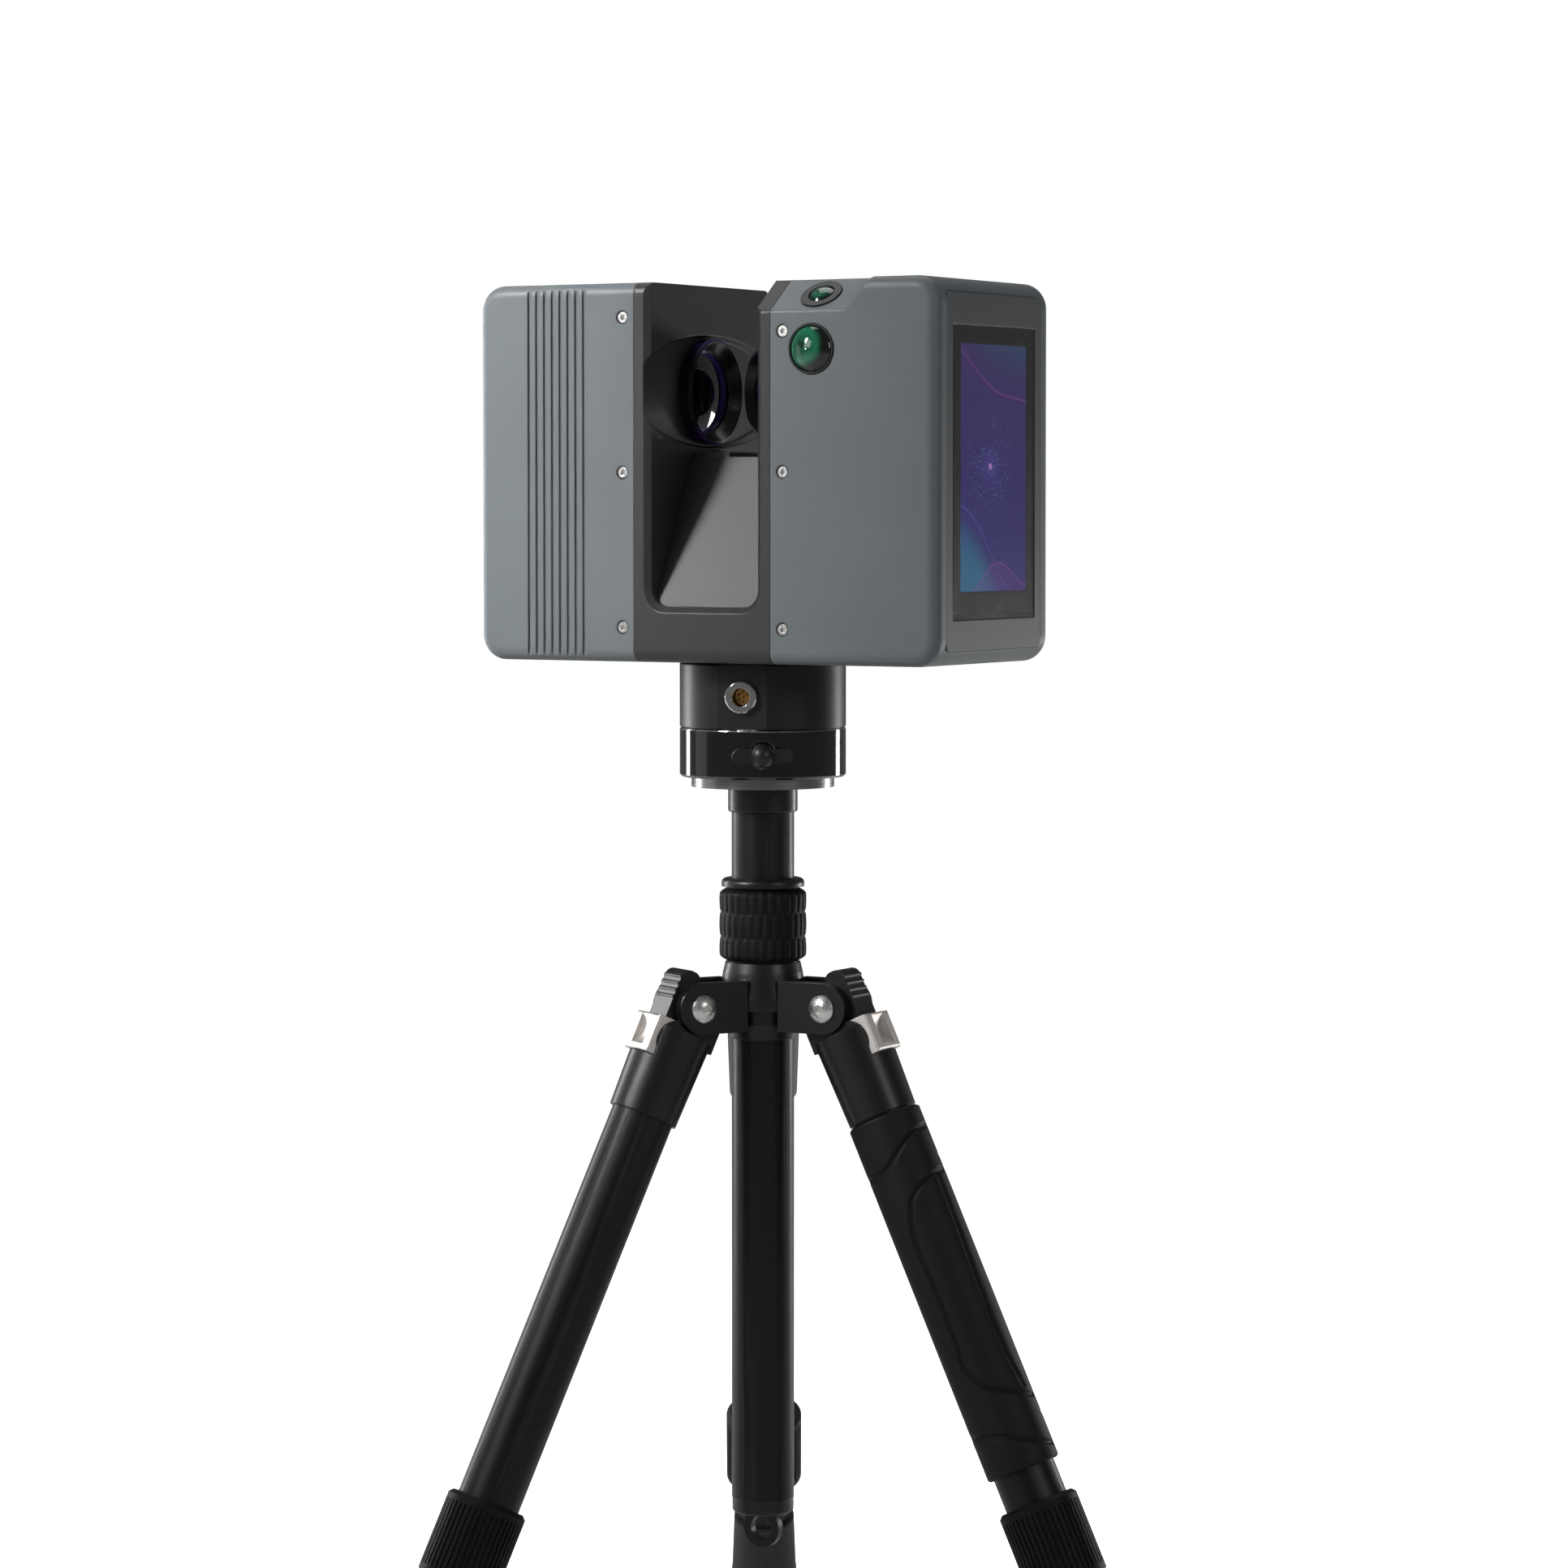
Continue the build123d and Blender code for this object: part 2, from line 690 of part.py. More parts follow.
bearing_bore = shaft_diameter + 2 * running
with BuildPart() as mirror_bearings:
    for start in (slot_half + 1, boss_end - bearing_width):
        add(mirror_ring(start, start + bearing_width, bearing_diameter, bearing_bore).part)
finish(mirror_bearings, "mirror_bearings")

motor_start = boss_end + 1
mirror_motor_stator = mirror_ring(motor_start, motor_start + motor_length, motor_diameter, rotor_diameter + 1)
finish(mirror_motor_stator, "mirror_motor_stator")
motor_end = motor_start + motor_length
mirror_motor_rotor = mirror_ring(motor_start + 1, motor_end - 1, rotor_diameter, shaft_diameter)
finish(mirror_motor_rotor, "mirror_motor_rotor")
encoder_start = motor_start + motor_length + 4
encoder_disc = mirror_ring(encoder_start, encoder_start + 1.5, encoder_diameter, shaft_diameter)
finish(encoder_disc, "encoder_disc")

# ------------------------------------------------------------------ laser optics
relief_floor = -slot_half - relief_depth
with BuildPart() as window_ring:
    with BuildSketch(Plane.XZ):
        with BuildLine():
            Polyline(
                (relief_floor, mirror_z + lens_diameter / 2 + 0.4),
                (relief_floor + 1.5, mirror_z + lens_diameter / 2 + 0.4),
                (-slot_half + ring_proud, mirror_z + ring_diameter / 2 - 1.5),
                (-slot_half + ring_proud - 1, mirror_z + ring_diameter / 2),
                (relief_floor, mirror_z + ring_diameter / 2),
                close=True,
            )
        make_face()
    revolve(axis=Axis((0, 0, mirror_z), (1, 0, 0)), revolution_arc=360)
finish(window_ring, "window_ring")

lens_seat = mirror_plane(relief_floor)
receiver_lens = dome(lens_seat, lens_diameter / 2 - 0.1, lens_thickness, lens_crown)
finish(receiver_lens, "receiver_lens")

laser_start = -frame_half - seam
with BuildPart() as laser_module:
    add(mirror_ring(laser_start - laser_length, laser_start, laser_diameter, laser_diameter - 6).part)
    add(mirror_ring(laser_start - laser_length, laser_start - laser_length + 6, laser_diameter).part)
    with Locations((laser_start - laser_length / 2, 0, mirror_z + laser_diameter / 2 - 3)):
        Box(30, 24, 14, align=low_side)
finish(laser_module, "laser_module")

# ------------------------------------------------------------------ battery packs and main board
with BuildPart() as battery_packs:
    inner_end = -half_width + cover_wall + battery_clear
    for side in (-1, 1):
        centre_y = side * (battery_size[1] + battery_gap) / 2
        with Locations((inner_end + battery_size[0] / 2, centre_y, head_z + cover_wall + battery_clear)):
            Box(*battery_size, align=low_side)
    fillet(battery_packs.edges().filter_by(Axis.Z), 3)
finish(battery_packs, "battery_packs")

with BuildPart() as main_board:
    with Locations((board_x, 0, head_z + board_bottom)):
        Box(*board_size, align=low_side)
    for index, chip_size in enumerate(chip_sizes):
        chip_y = (index - 1) * chip_step
        chip_z = head_z + board_bottom + (index + 1) * chip_step
        with Locations((board_x - (board_size[0] + chip_height) / 2, chip_y, chip_z)):
            Box(chip_height, *chip_size)
finish(main_board, "main_board")

# ------------------------------------------------------------------ base with pan drive and socket
base_radius = base_diameter / 2
facet_distance = sqrt(base_radius**2 - (facet_width / 2) ** 2)
facet_out = (cos(radians(facet_angle)), sin(radians(facet_angle)), 0)
socket_z = base_top - socket_drop
facet_plane = Plane(
    origin=(facet_distance * facet_out[0], facet_distance * facet_out[1], socket_z),
    x_dir=(0, 0, 1),
    z_dir=facet_out,
)
with BuildPart() as base_housing:
    with BuildSketch(Plane.XY.offset(adapter_top)):
        Circle(base_radius)
    extrude(amount=base_height)
    fillet(base_housing.edges().group_by(Axis.Z)[-1], 1)
    with BuildSketch(Plane.XY.offset(adapter_top)):
        Circle(base_radius - base_wall)
    extrude(amount=base_height - base_roof, mode=Mode.SUBTRACT)
    with BuildSketch(facet_plane):
        Rectangle(3 * base_height, base_diameter)
    extrude(amount=base_diameter, mode=Mode.SUBTRACT)
    with Locations((0, 0, base_top)):
        Cylinder(spindle_diameter / 2 + 1, base_roof + 1, align=deep_side, mode=Mode.SUBTRACT)
    with Locations((0, 0, base_top - base_roof)):
        Cylinder(pan_bearing_diameter / 2, pan_bearing_width, align=low_side, mode=Mode.SUBTRACT)
    with Locations(facet_plane):
        Cylinder(socket_body_diameter / 2, 3 * base_wall, mode=Mode.SUBTRACT)
finish(base_housing, "base_housing")

with BuildPart() as power_socket_shell:
    with BuildSketch(facet_plane):
        Circle(socket_nut_diameter / 2)
    extrude(amount=socket_nut_proud)
    outer_end = facet_plane.offset(20).origin
    nut_rim = power_socket_shell.edges().filter_by(GeomType.CIRCLE).sort_by_distance(outer_end)[0]
    chamfer(nut_rim, 0.6)
    with Locations(facet_plane):
        Cylinder(socket_body_diameter / 2, socket_depth, align=deep_side)
    with Locations(facet_plane.offset(socket_nut_proud)):
        Cylinder(socket_bore_diameter / 2, socket_bore_depth, align=deep_side, mode=Mode.SUBTRACT)
    with Locations(facet_plane.offset(socket_nut_proud - socket_bore_depth)):
        Cylinder(insert_diameter / 2 + 0.05, insert_length + 1, align=deep_side, mode=Mode.SUBTRACT)
finish(power_socket_shell, "power_socket_shell")

with BuildPart() as power_socket_insert:
    with Locations(facet_plane.offset(socket_nut_proud - socket_bore_depth)):
        Cylinder(insert_diameter / 2, insert_length, align=deep_side)
        with PolarLocations(contact_circle, contact_count - 1):
            Cylinder(contact_radius, contact_depth, align=deep_side, mode=Mode.SUBTRACT)
        Cylinder(contact_radius, contact_depth, align=deep_side, mode=Mode.SUBTRACT)
finish(power_socket_insert, "power_socket_insert")

motor_top = base_top - base_roof - 2
with BuildPart() as pan_spindle:
    with BuildSketch(Plane.XY.offset(head_z)):
        Circle(spindle_flange_diameter / 2 - fit_gap)
    extrude(amount=spindle_flange)
    with BuildSketch(Plane.XY.offset(motor_top - pan_motor_height)):
        Circle(spindle_diameter / 2)
    extrude(amount=head_z - motor_top + pan_motor_height)
finish(pan_spindle, "pan_spindle")

pan_bearing_bottom = base_top - base_roof
pan_bearing = ring(
    pan_bearing_bottom,
    pan_bearing_bottom + pan_bearing_width,
    pan_bearing_diameter,
    spindle_diameter + 2 * running,
)
finish(pan_bearing, "pan_bearing")
pan_motor_rotor = ring(motor_top - pan_motor_height, motor_top, pan_rotor_diameter, spindle_diameter)
finish(pan_motor_rotor, "pan_motor_rotor")
with BuildPart() as pan_motor_stator:
    add(ring(motor_top - pan_motor_height, motor_top, pan_stator_diameter, pan_rotor_diameter + 1).part)
    add(ring(adapter_top, motor_top - pan_motor_height, pan_stator_diameter, pan_rotor_diameter + 1).part)
finish(pan_motor_stator, "pan_motor_stator")

# ------------------------------------------------------------------ quick-release adapter
knob_out = (cos(radians(knob_angle)), sin(radians(knob_angle)), 0)
adapter_radius = adapter_diameter / 2
knob_z = adapter_top - knob_drop
knob_plane = Plane(
    origin=(adapter_radius * knob_out[0], adapter_radius * knob_out[1], knob_z),
    x_dir=(-knob_out[1], knob_out[0], 0),
    z_dir=knob_out,
)
stem_depth = 22.0
with BuildPart() as adapter_body:
    with BuildSketch(Plane.XY.offset(plate_top)):
        Circle(adapter_radius)
    extrude(amount=adapter_height)
    chamfer(adapter_body.edges().group_by(Axis.Z)[-1], adapter_edge)
    chamfer(adapter_body.edges().group_by(Axis.Z)[0], adapter_edge)
    with Locations((0, 0, plate_top)):
        Cylinder(stud_diameter / 2 + 0.3, adapter_height, align=low_side, mode=Mode.SUBTRACT)
    with Locations(knob_plane):
        Cylinder(knob_stem_diameter / 2 + running, stem_depth + 1, align=deep_side, mode=Mode.SUBTRACT)
    with Locations(knob_plane):
        Cylinder(knob_ball_diameter / 2 + 1, 2, align=deep_side, mode=Mode.SUBTRACT)
finish(adapter_body, "adapter_body")

wing_plane = knob_plane.offset(knob_standoff + knob_ball_diameter / 2).rotated((0, 0, knob_tilt))
with BuildPart() as clamp_knob:
    with Locations(knob_plane):
        Cylinder(knob_stem_diameter / 2, stem_depth, align=deep_side)
        Cylinder(knob_stem_diameter / 2, knob_standoff + knob_ball_diameter / 2, align=low_side)
    with Locations(knob_plane.offset(-1.5)):
        Cylinder(knob_ball_diameter / 2 - 1, knob_standoff + 1.5, align=low_side)
    with Locations(wing_plane):
        Sphere(knob_ball_diameter / 2)
    with BuildSketch(wing_plane.offset(-knob_wing_thickness / 2)):
        SlotOverall(knob_span, knob_wing_height)
    extrude(amount=knob_wing_thickness)
finish(clamp_knob, "clamp_knob")

adapter_plate = ring(collar_top, plate_top, plate_diameter, stud_diameter + 0.6)
finish(adapter_plate, "adapter_plate")

# ------------------------------------------------------------------ centre column
column_bottom = collar_bottom - column_length
with BuildPart() as column_collar:
    add(ring(collar_bottom, collar_top, collar_diameter).part)
    fillet(column_collar.edges().group_by(Axis.Z)[0], 1)
    add(ring(collar_bottom - spigot_length, collar_bottom, column_bore).part)
    add(ring(collar_top, collar_top + stud_length, stud_diameter).part)
finish(column_collar, "column_collar")

column_tube = ring(column_bottom, collar_bottom, column_diameter, column_bore)
finish(column_tube, "column_tube")

eye_z = column_bottom - hook_cap_height - hook_eye_radius - hook_wire_radius
with BuildPart() as column_hook:
    add(ring(column_bottom - hook_cap_height, column_bottom, column_diameter - 0.4).part)
    fillet(column_hook.edges().group_by(Axis.Z)[0], 2)
    add(ring(column_bottom, column_bottom + spigot_length, column_bore).part)
    with BuildSketch(Plane.XZ.offset(-hook_wire_radius)):
        with Locations((0, eye_z)):
            Circle(hook_eye_radius + 2 * hook_wire_radius)
            Circle(hook_eye_radius, mode=Mode.SUBTRACT)
    extrude(amount=2 * hook_wire_radius)
finish(column_hook, "column_hook")

# ------------------------------------------------------------------ column twist lock and crown
with BuildPart() as lock_sleeve:
    add(ring(crown_top, lock_top - lock_ring_height, lock_sleeve_diameter, column_way).part)
    add(ring(lock_top - lock_ring_height, lock_top, lock_ring_diameter, column_way).part)
    fillet(lock_sleeve.edges().group_by(Axis.Z)[-1].sort_by(SortBy.RADIUS)[-1], lock_ring_round)
finish(lock_sleeve, "column_lock_sleeve")

grip_top = lock_top - lock_ring_height - lock_gap
with BuildPart() as lock_grip:
    with BuildSketch(Plane.XY.offset(lock_bottom)):
        Circle(lock_diameter / 2)
    extrude(amount=grip_top - lock_bottom)
    chamfer(lock_grip.edges().group_by(Axis.Z)[0], 2.5)
    chamfer(lock_grip.edges().group_by(Axis.Z)[-1], 1.5)
    with BuildSketch(Plane.XY.offset(lock_bottom + lock_rib_end)):
        with PolarLocations(lock_diameter / 2, lock_rib_count):
            Rectangle(2 * lock_rib_depth, lock_rib_groove)
    extrude(amount=grip_top - lock_bottom - 2 * lock_rib_end, mode=Mode.SUBTRACT)
    with BuildSketch(Plane.XY.offset(lock_bottom)):
        Circle(lock_sleeve_diameter / 2 + lock_clearance)
    extrude(amount=lock_height, mode=Mode.SUBTRACT)
finish(lock_grip, "column_lock_grip")


def leg_place(angle):
    """A leg's planes at its hinge axis: along the leg, and across it along the axis."""
    out = Vector(cos(radians(angle)), sin(radians(angle)), 0)
    up = Vector(0, 0, 1)
    down_leg = out * sin(radians(leg_splay)) - up * cos(radians(leg_splay))
    outward = out * cos(radians(leg_splay)) + up * sin(radians(leg_splay))
    hinge = out * hinge_radius + up * hinge_z
    along = Plane(origin=hinge, x_dir=outward, z_dir=down_leg)
    across = Plane(origin=hinge, x_dir=outward, z_dir=along.y_dir)
    return along, across


ear_inner = tongue_width / 2 + tongue_clearance
ear_outer = ear_inner + ear_thickness
with BuildPart() as crown:
    with BuildSketch(Plane.XZ):
        with BuildLine():
            Polyline(
                (column_way / 2, crown_top),
                (crown_neck_diameter / 2, crown_top),
                (crown_neck_diameter / 2 + 1.2, crown_top - 5),
                (crown_diameter / 2 - 1.5, crown_top - 7),
                (crown_diameter / 2, crown_top - 18),
                (crown_diameter / 2, crown_bottom + 17),
                (crown_diameter / 2 - 2, crown_bottom + 15),
                (crown_waist_diameter / 2, crown_bottom + 15),
                (crown_waist_diameter / 2, crown_bottom + 8),
                (bush_diameter / 2, crown_bottom),
                (column_way / 2, crown_bottom),
                close=True,
            )
        make_face()
    revolve(axis=Axis.Z, revolution_arc=360)
    for angle in leg_angles:
        out = (cos(radians(angle)), sin(radians(angle)), 0)
        hinge = (hinge_radius * out[0], hinge_radius * out[1], hinge_z)
        ear_plane = Plane(origin=hinge, x_dir=out, z_dir=(out[1], -out[0], 0))
        for side in (-1, 1):
            with BuildSketch(ear_plane.offset(side * (ear_inner + ear_thickness / 2))):
                Circle(ear_radius)
                with Locations(((crown_diameter / 2 - 5 - hinge_radius) / 2, 0)):
                    Rectangle(hinge_radius - crown_diameter / 2 + 5, 2 * ear_radius)
            extrude(amount=ear_thickness / 2, both=True)
    with BuildSketch(Plane.XY.offset(crown_bottom)):
        Circle(column_way / 2)
    extrude(amount=crown_rise + crown_drop, mode=Mode.SUBTRACT)
    for angle in leg_angles:
        out = (cos(radians(angle)), sin(radians(angle)), 0)
        hinge = (hinge_radius * out[0], hinge_radius * out[1], hinge_z)
        with Locations(Plane(origin=hinge, z_dir=(-out[1], out[0], 0))):
            Cylinder(bolt_diameter / 2, 4 * ear_outer, mode=Mode.SUBTRACT)
finish(crown, "crown")

with BuildPart() as hinge_bolts:
    for angle in leg_angles:
        along, across = leg_place(angle)
        with Locations(across):
            Cylinder(bolt_diameter / 2, 2 * ear_outer)
        for side in (-1, 1):
            ear_face = across.offset(side * ear_outer)
            facing = Plane(origin=ear_face.origin, x_dir=across.x_dir, z_dir=across.z_dir * side)
            cap_seat = facing.offset(bolt_head_rim)
            add(dome(cap_seat, bolt_head_diameter / 2, bolt_head_rim, bolt_head_crown).part)
            with BuildSketch(facing.offset(bolt_head_rim + bolt_head_crown)):
                RegularPolygon(bolt_socket, 6)
            extrude(amount=-bolt_socket_depth, mode=Mode.SUBTRACT)
finish(hinge_bolts, "hinge_bolts")

# ------------------------------------------------------------------ legs
for number, angle in enumerate(leg_angles, start=1):
    along, across = leg_place(angle)
    axis_at = along.location * Pos(leg_offset, 0, 0)
    tube_line = Plane(axis_at)
    leg = f"leg_{number}"

    with BuildPart() as casting:
        # hinge tongue between the crown's ears, running down into the sleeve
        with BuildSketch(across.offset(-tongue_width / 2)):
            Circle(tongue_radius)
            with Locations(((sleeve_inner + tongue_radius) / 2, -(sleeve_start + tongue_top) / 2 - 2)):
                Rectangle(tongue_radius - sleeve_inner, sleeve_start - tongue_top + 4)
        extrude(amount=tongue_width)
        # sleeve around the tube's top
        with BuildSketch(tube_line.offset(sleeve_start)):
            Circle(sleeve_top_diameter / 2)
        with BuildSketch(tube_line.offset(sleeve_end)):
            Circle(sleeve_end_diameter / 2)
        loft()
        # round bosses that carry the tab, clear of the ears
        with BuildSketch(across.offset(-tab_boss_width / 2)):
            with Locations((arm_outer - tab_boss_radius + 2, -tab_middle)):
                Circle(tab_boss_radius)
        extrude(amount=tab_boss_width)
        with BuildSketch(across.offset(tongue_width / 2)):
            Circle(ear_radius + 2 * tongue_clearance)
        extrude(amount=tab_boss_width, mode=Mode.SUBTRACT)
        with BuildSketch(across.offset(-tongue_width / 2)):
            Circle(ear_radius + 2 * tongue_clearance)
        extrude(amount=-tab_boss_width, mode=Mode.SUBTRACT)
        # the tab's seat around the arm
        with BuildSketch(along.offset(tab_start - tab_seat)):
            with Locations((tab_floor - tab_cheek + 20 - tab_seat, 0)):
                Rectangle(40, tab_width + 2 * tab_seat)
        extrude(amount=tab_length + 2 * tab_seat, mode=Mode.SUBTRACT)
        # ratchet arm between the ears, with ribs on its outer face
        with BuildSketch(across.offset(-tongue_width / 2)) as arm_face:
            with Locations(((arm_inner + arm_outer) / 2, (arm_top - tab_middle - tab_length / 2) / 2)):
                Rectangle(arm_outer - arm_inner, arm_top + tab_middle + tab_length / 2)
            fillet(arm_face.vertices().group_by(Axis.Y)[-1], arm_round)
        extrude(amount=tongue_width)
        for rib in range(rib_count):
            with BuildSketch(across.offset(-tongue_width / 2)):
                with Locations((arm_outer - 0.3, arm_top - arm_round - rib_pitch * rib)):
                    Circle(rib_radius)
            extrude(amount=tongue_width)
        with BuildSketch(tube_line.offset(leg_tube_start)):
            Circle(leg_tube_diameter / 2)
        extrude(amount=sleeve_end, mode=Mode.SUBTRACT)
        with Locations(across):
            Cylinder(bolt_diameter / 2 + bolt_clearance, 2 * tongue_width, mode=Mode.SUBTRACT)
        # slot for the tab's tongue
        with BuildSketch(along.offset(tab_middle - tab_tongue_length / 2 - tab_seat)):
            with Locations((arm_outer - tab_tongue_reach / 2, 0)):
                Rectangle(tab_tongue_reach + 2, tab_tongue_width + 2 * tab_seat)
        extrude(amount=tab_tongue_length + 2 * tab_seat, mode=Mode.SUBTRACT)
    finish(casting, f"{leg}_casting")

    with BuildPart() as tab:
        with BuildSketch(along.offset(tab_start)):
            with Locations(((tab_floor - tab_cheek + tab_top) / 2, 0)):
                Rectangle(tab_thickness + tab_cheek, tab_width)
            with Locations((tab_floor - tab_cheek / 2 - 1, 0)):
                Rectangle(tab_cheek + 2, tongue_width + 2 * tab_seat, mode=Mode.SUBTRACT)
        extrude(amount=tab_length)
        outer_rim = tab.edges().filter_by(lambda e: along.to_local_coords(e.center()).X > tab_top - 0.1)
        fillet(outer_rim, tab_round)
        with BuildSketch(across.offset(-tab_width / 4)):
            with Locations((tab_top + tab_scoop_radius - tab_scoop_depth, -tab_middle + 1)):
                Circle(tab_scoop_radius)
        extrude(amount=tab_width / 2, mode=Mode.SUBTRACT)
        with BuildSketch(along.offset(tab_middle - tab_tongue_length / 2)):
            with Locations((tab_floor - tab_tongue_reach / 2 + 0.5, 0)):
                Rectangle(tab_tongue_reach + 1, tab_tongue_width)
        extrude(amount=tab_tongue_length)
    finish(tab, f"{leg}_angle_tab")

    with BuildPart() as tube:
        with BuildSketch(tube_line.offset(leg_tube_start)):
            Circle(leg_tube_diameter / 2)
            Circle(leg_tube_bore / 2, mode=Mode.SUBTRACT)
        extrude(amount=leg_tube_end - leg_tube_start)
    finish(tube, f"{leg}_upper_tube")

    with BuildPart() as leg_lock:
        with BuildSketch(tube_line.offset(leg_lock_start)):
            Circle(leg_lock_diameter / 2)
        extrude(amount=leg_lock_length)
        ends = leg_lock.edges().filter_by(GeomType.CIRCLE)
        chamfer(ends, 2)
        with BuildSketch(tube_line.offset(leg_lock_start + lock_rib_end)):
            with PolarLocations(leg_lock_diameter / 2, lock_rib_count):
                Rectangle(2 * lock_rib_depth, lock_rib_groove)
        extrude(amount=leg_lock_length - 2 * lock_rib_end, mode=Mode.SUBTRACT)
        with BuildSketch(tube_line.offset(leg_lock_start)):
            Circle(leg_tube_diameter / 2 + running)
        extrude(amount=leg_tube_end - leg_lock_start + 0.5, mode=Mode.SUBTRACT)
        with BuildSketch(tube_line.offset(leg_lock_start)):
            Circle(lower_tube_diameter / 2 + running)
        extrude(amount=leg_lock_length, mode=Mode.SUBTRACT)
    finish(leg_lock, f"{leg}_twist_lock")

    with BuildPart() as lower_tube:
        with BuildSketch(tube_line.offset(lower_tube_start)):
            Circle(lower_tube_diameter / 2)
            Circle(lower_tube_bore / 2, mode=Mode.SUBTRACT)
        extrude(amount=lower_tube_end - lower_tube_start)
    finish(lower_tube, f"{leg}_lower_tube")

    with BuildPart() as foot:
        with BuildSketch(tube_line.offset(foot_start)):
            Circle(foot_radius - 1.5)
        with BuildSketch(tube_line.offset(foot_reach)):
            Circle(foot_radius - 0.2)
        loft()
        with Locations(tube_line.offset(foot_reach)):
            Sphere(foot_radius)
        with BuildSketch(tube_line.offset(foot_start)):
            Circle(lower_tube_diameter / 2)
        extrude(amount=lower_tube_end - foot_start, mode=Mode.SUBTRACT)
        split(bisect_by=Plane.XY, keep=Keep.TOP)
    finish(foot, f"{leg}_foot")

    if number == grip_leg:
        with BuildPart() as leg_grip:
            with BuildSketch(tube_line.offset(grip_start)):
                Circle(grip_diameter / 2)
                Circle(leg_tube_diameter / 2 + 0.05, mode=Mode.SUBTRACT)
            extrude(amount=grip_end - grip_start)
        finish(leg_grip, f"{leg}_grip")

print("hinge height", hinge_z, "head underside", head_z, "top", head_top + button_proud)
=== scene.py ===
# %% [markdown]
# A laser scanner stands on a carbon tripod. Its sizes, its joints and nearly all of its shapes come
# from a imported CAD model, so this lesson starts by loading that model as a fixed frame. Nothing in
# the frame is moved. The lesson adds finishes, a few finer meshes, a floor, lights and a camera.

# %% Load the frame
from math import asin, cos, pi, radians, sin, tau

import bmesh
import bpy
import numpy as np
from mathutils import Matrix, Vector


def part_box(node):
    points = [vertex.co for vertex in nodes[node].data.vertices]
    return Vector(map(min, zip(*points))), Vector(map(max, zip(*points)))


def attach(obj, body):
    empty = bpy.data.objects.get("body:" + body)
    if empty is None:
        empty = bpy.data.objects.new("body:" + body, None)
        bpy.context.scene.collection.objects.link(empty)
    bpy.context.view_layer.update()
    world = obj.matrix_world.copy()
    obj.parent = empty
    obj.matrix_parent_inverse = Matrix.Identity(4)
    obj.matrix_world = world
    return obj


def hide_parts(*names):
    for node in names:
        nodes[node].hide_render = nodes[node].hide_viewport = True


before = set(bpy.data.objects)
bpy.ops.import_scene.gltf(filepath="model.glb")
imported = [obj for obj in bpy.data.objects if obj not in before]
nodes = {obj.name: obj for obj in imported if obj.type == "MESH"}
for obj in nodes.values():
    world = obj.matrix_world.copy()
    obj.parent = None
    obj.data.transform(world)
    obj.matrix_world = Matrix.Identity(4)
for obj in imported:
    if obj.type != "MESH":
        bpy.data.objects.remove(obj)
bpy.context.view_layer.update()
scene = bpy.context.scene

# %% Places read from the frame
head_low, head_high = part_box("centre_frame")
ring_low, ring_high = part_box("window_ring")
mirror_axis = Vector((0, 0, (ring_low.z + ring_high.z) / 2))


def middle(node):
    """The centre of a node's box."""
    low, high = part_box(node)
    return (low + high) / 2


print("head from", round(head_low.z, 4), "to", round(head_high.z, 4), "m")

# %% [markdown]
# A long lens from a few metres away keeps the box-shaped head calm, with almost parallel edges. The
# camera stands a little above the head's underside and looks slightly down. A small shift lifts the
# head in the picture without tilting the camera further.

# %% Camera
camera_turn = 29.924
camera_tilt = -2.452
camera_data = bpy.data.cameras.new("camera")
camera_data.lens = 108.74
camera_data.sensor_width = 36
camera_data.shift_y = -0.05
camera = bpy.data.objects.new("camera", camera_data)
camera.location = (1.2163, -2.0915, head_low.z + 0.0803)
camera.rotation_euler = (radians(90 + camera_tilt), 0, radians(camera_turn))
scene.collection.objects.link(camera)
scene.camera = camera
print("camera distance", round(camera.location.xy.length, 3), "m")

# %% [markdown]
# Dark glossy parts show what stands around them, not their own colour. A studio hangs white boxes
# to the left and right, so rings get a bright line at each side and stay black between. One narrow
# beam makes the left cover brighter than the right. The sky is kept dim, and only the camera's own
# rays see it white.

# %% World
world = bpy.data.worlds.new("studio")
scene.world = world
world.use_nodes = True
sky = world.node_tree.nodes["Background"]
sky.inputs["Color"].default_value = (1, 1, 1, 1)
sky.inputs["Strength"].default_value = 0.1
backdrop = world.node_tree.nodes.new("ShaderNodeBackground")
backdrop.inputs["Color"].default_value = (1, 1, 1, 1)
backdrop.inputs["Strength"].default_value = 1.0
rays = world.node_tree.nodes.new("ShaderNodeLightPath")
choose = world.node_tree.nodes.new("ShaderNodeMixShader")
world.node_tree.links.new(rays.outputs["Is Camera Ray"], choose.inputs["Fac"])
world.node_tree.links.new(sky.outputs[0], choose.inputs[1])
world.node_tree.links.new(backdrop.outputs[0], choose.inputs[2])
world.node_tree.links.new(choose.outputs[0], world.node_tree.nodes["World Output"].inputs["Surface"])
scene.view_settings.view_transform = "Standard"
print("sky strength", sky.inputs["Strength"].default_value)

# %% Soft boxes
def soft_box(name, place, aim, width, height, power, spread=180):
    """A rectangular lamp at place that shines towards aim. A small spread makes a beam."""
    lamp = bpy.data.lights.new(name, "AREA")
    lamp.shape = "RECTANGLE"
    lamp.size, lamp.size_y = width, height
    lamp.energy = power
    lamp.spread = radians(spread)
    holder = bpy.data.objects.new(name, lamp)
    holder.location = place
    holder.rotation_euler = (Vector(aim) - Vector(place)).to_track_quat("-Z", "Y").to_euler()
    holder.visible_camera = False
    scene.collection.objects.link(holder)
    return holder


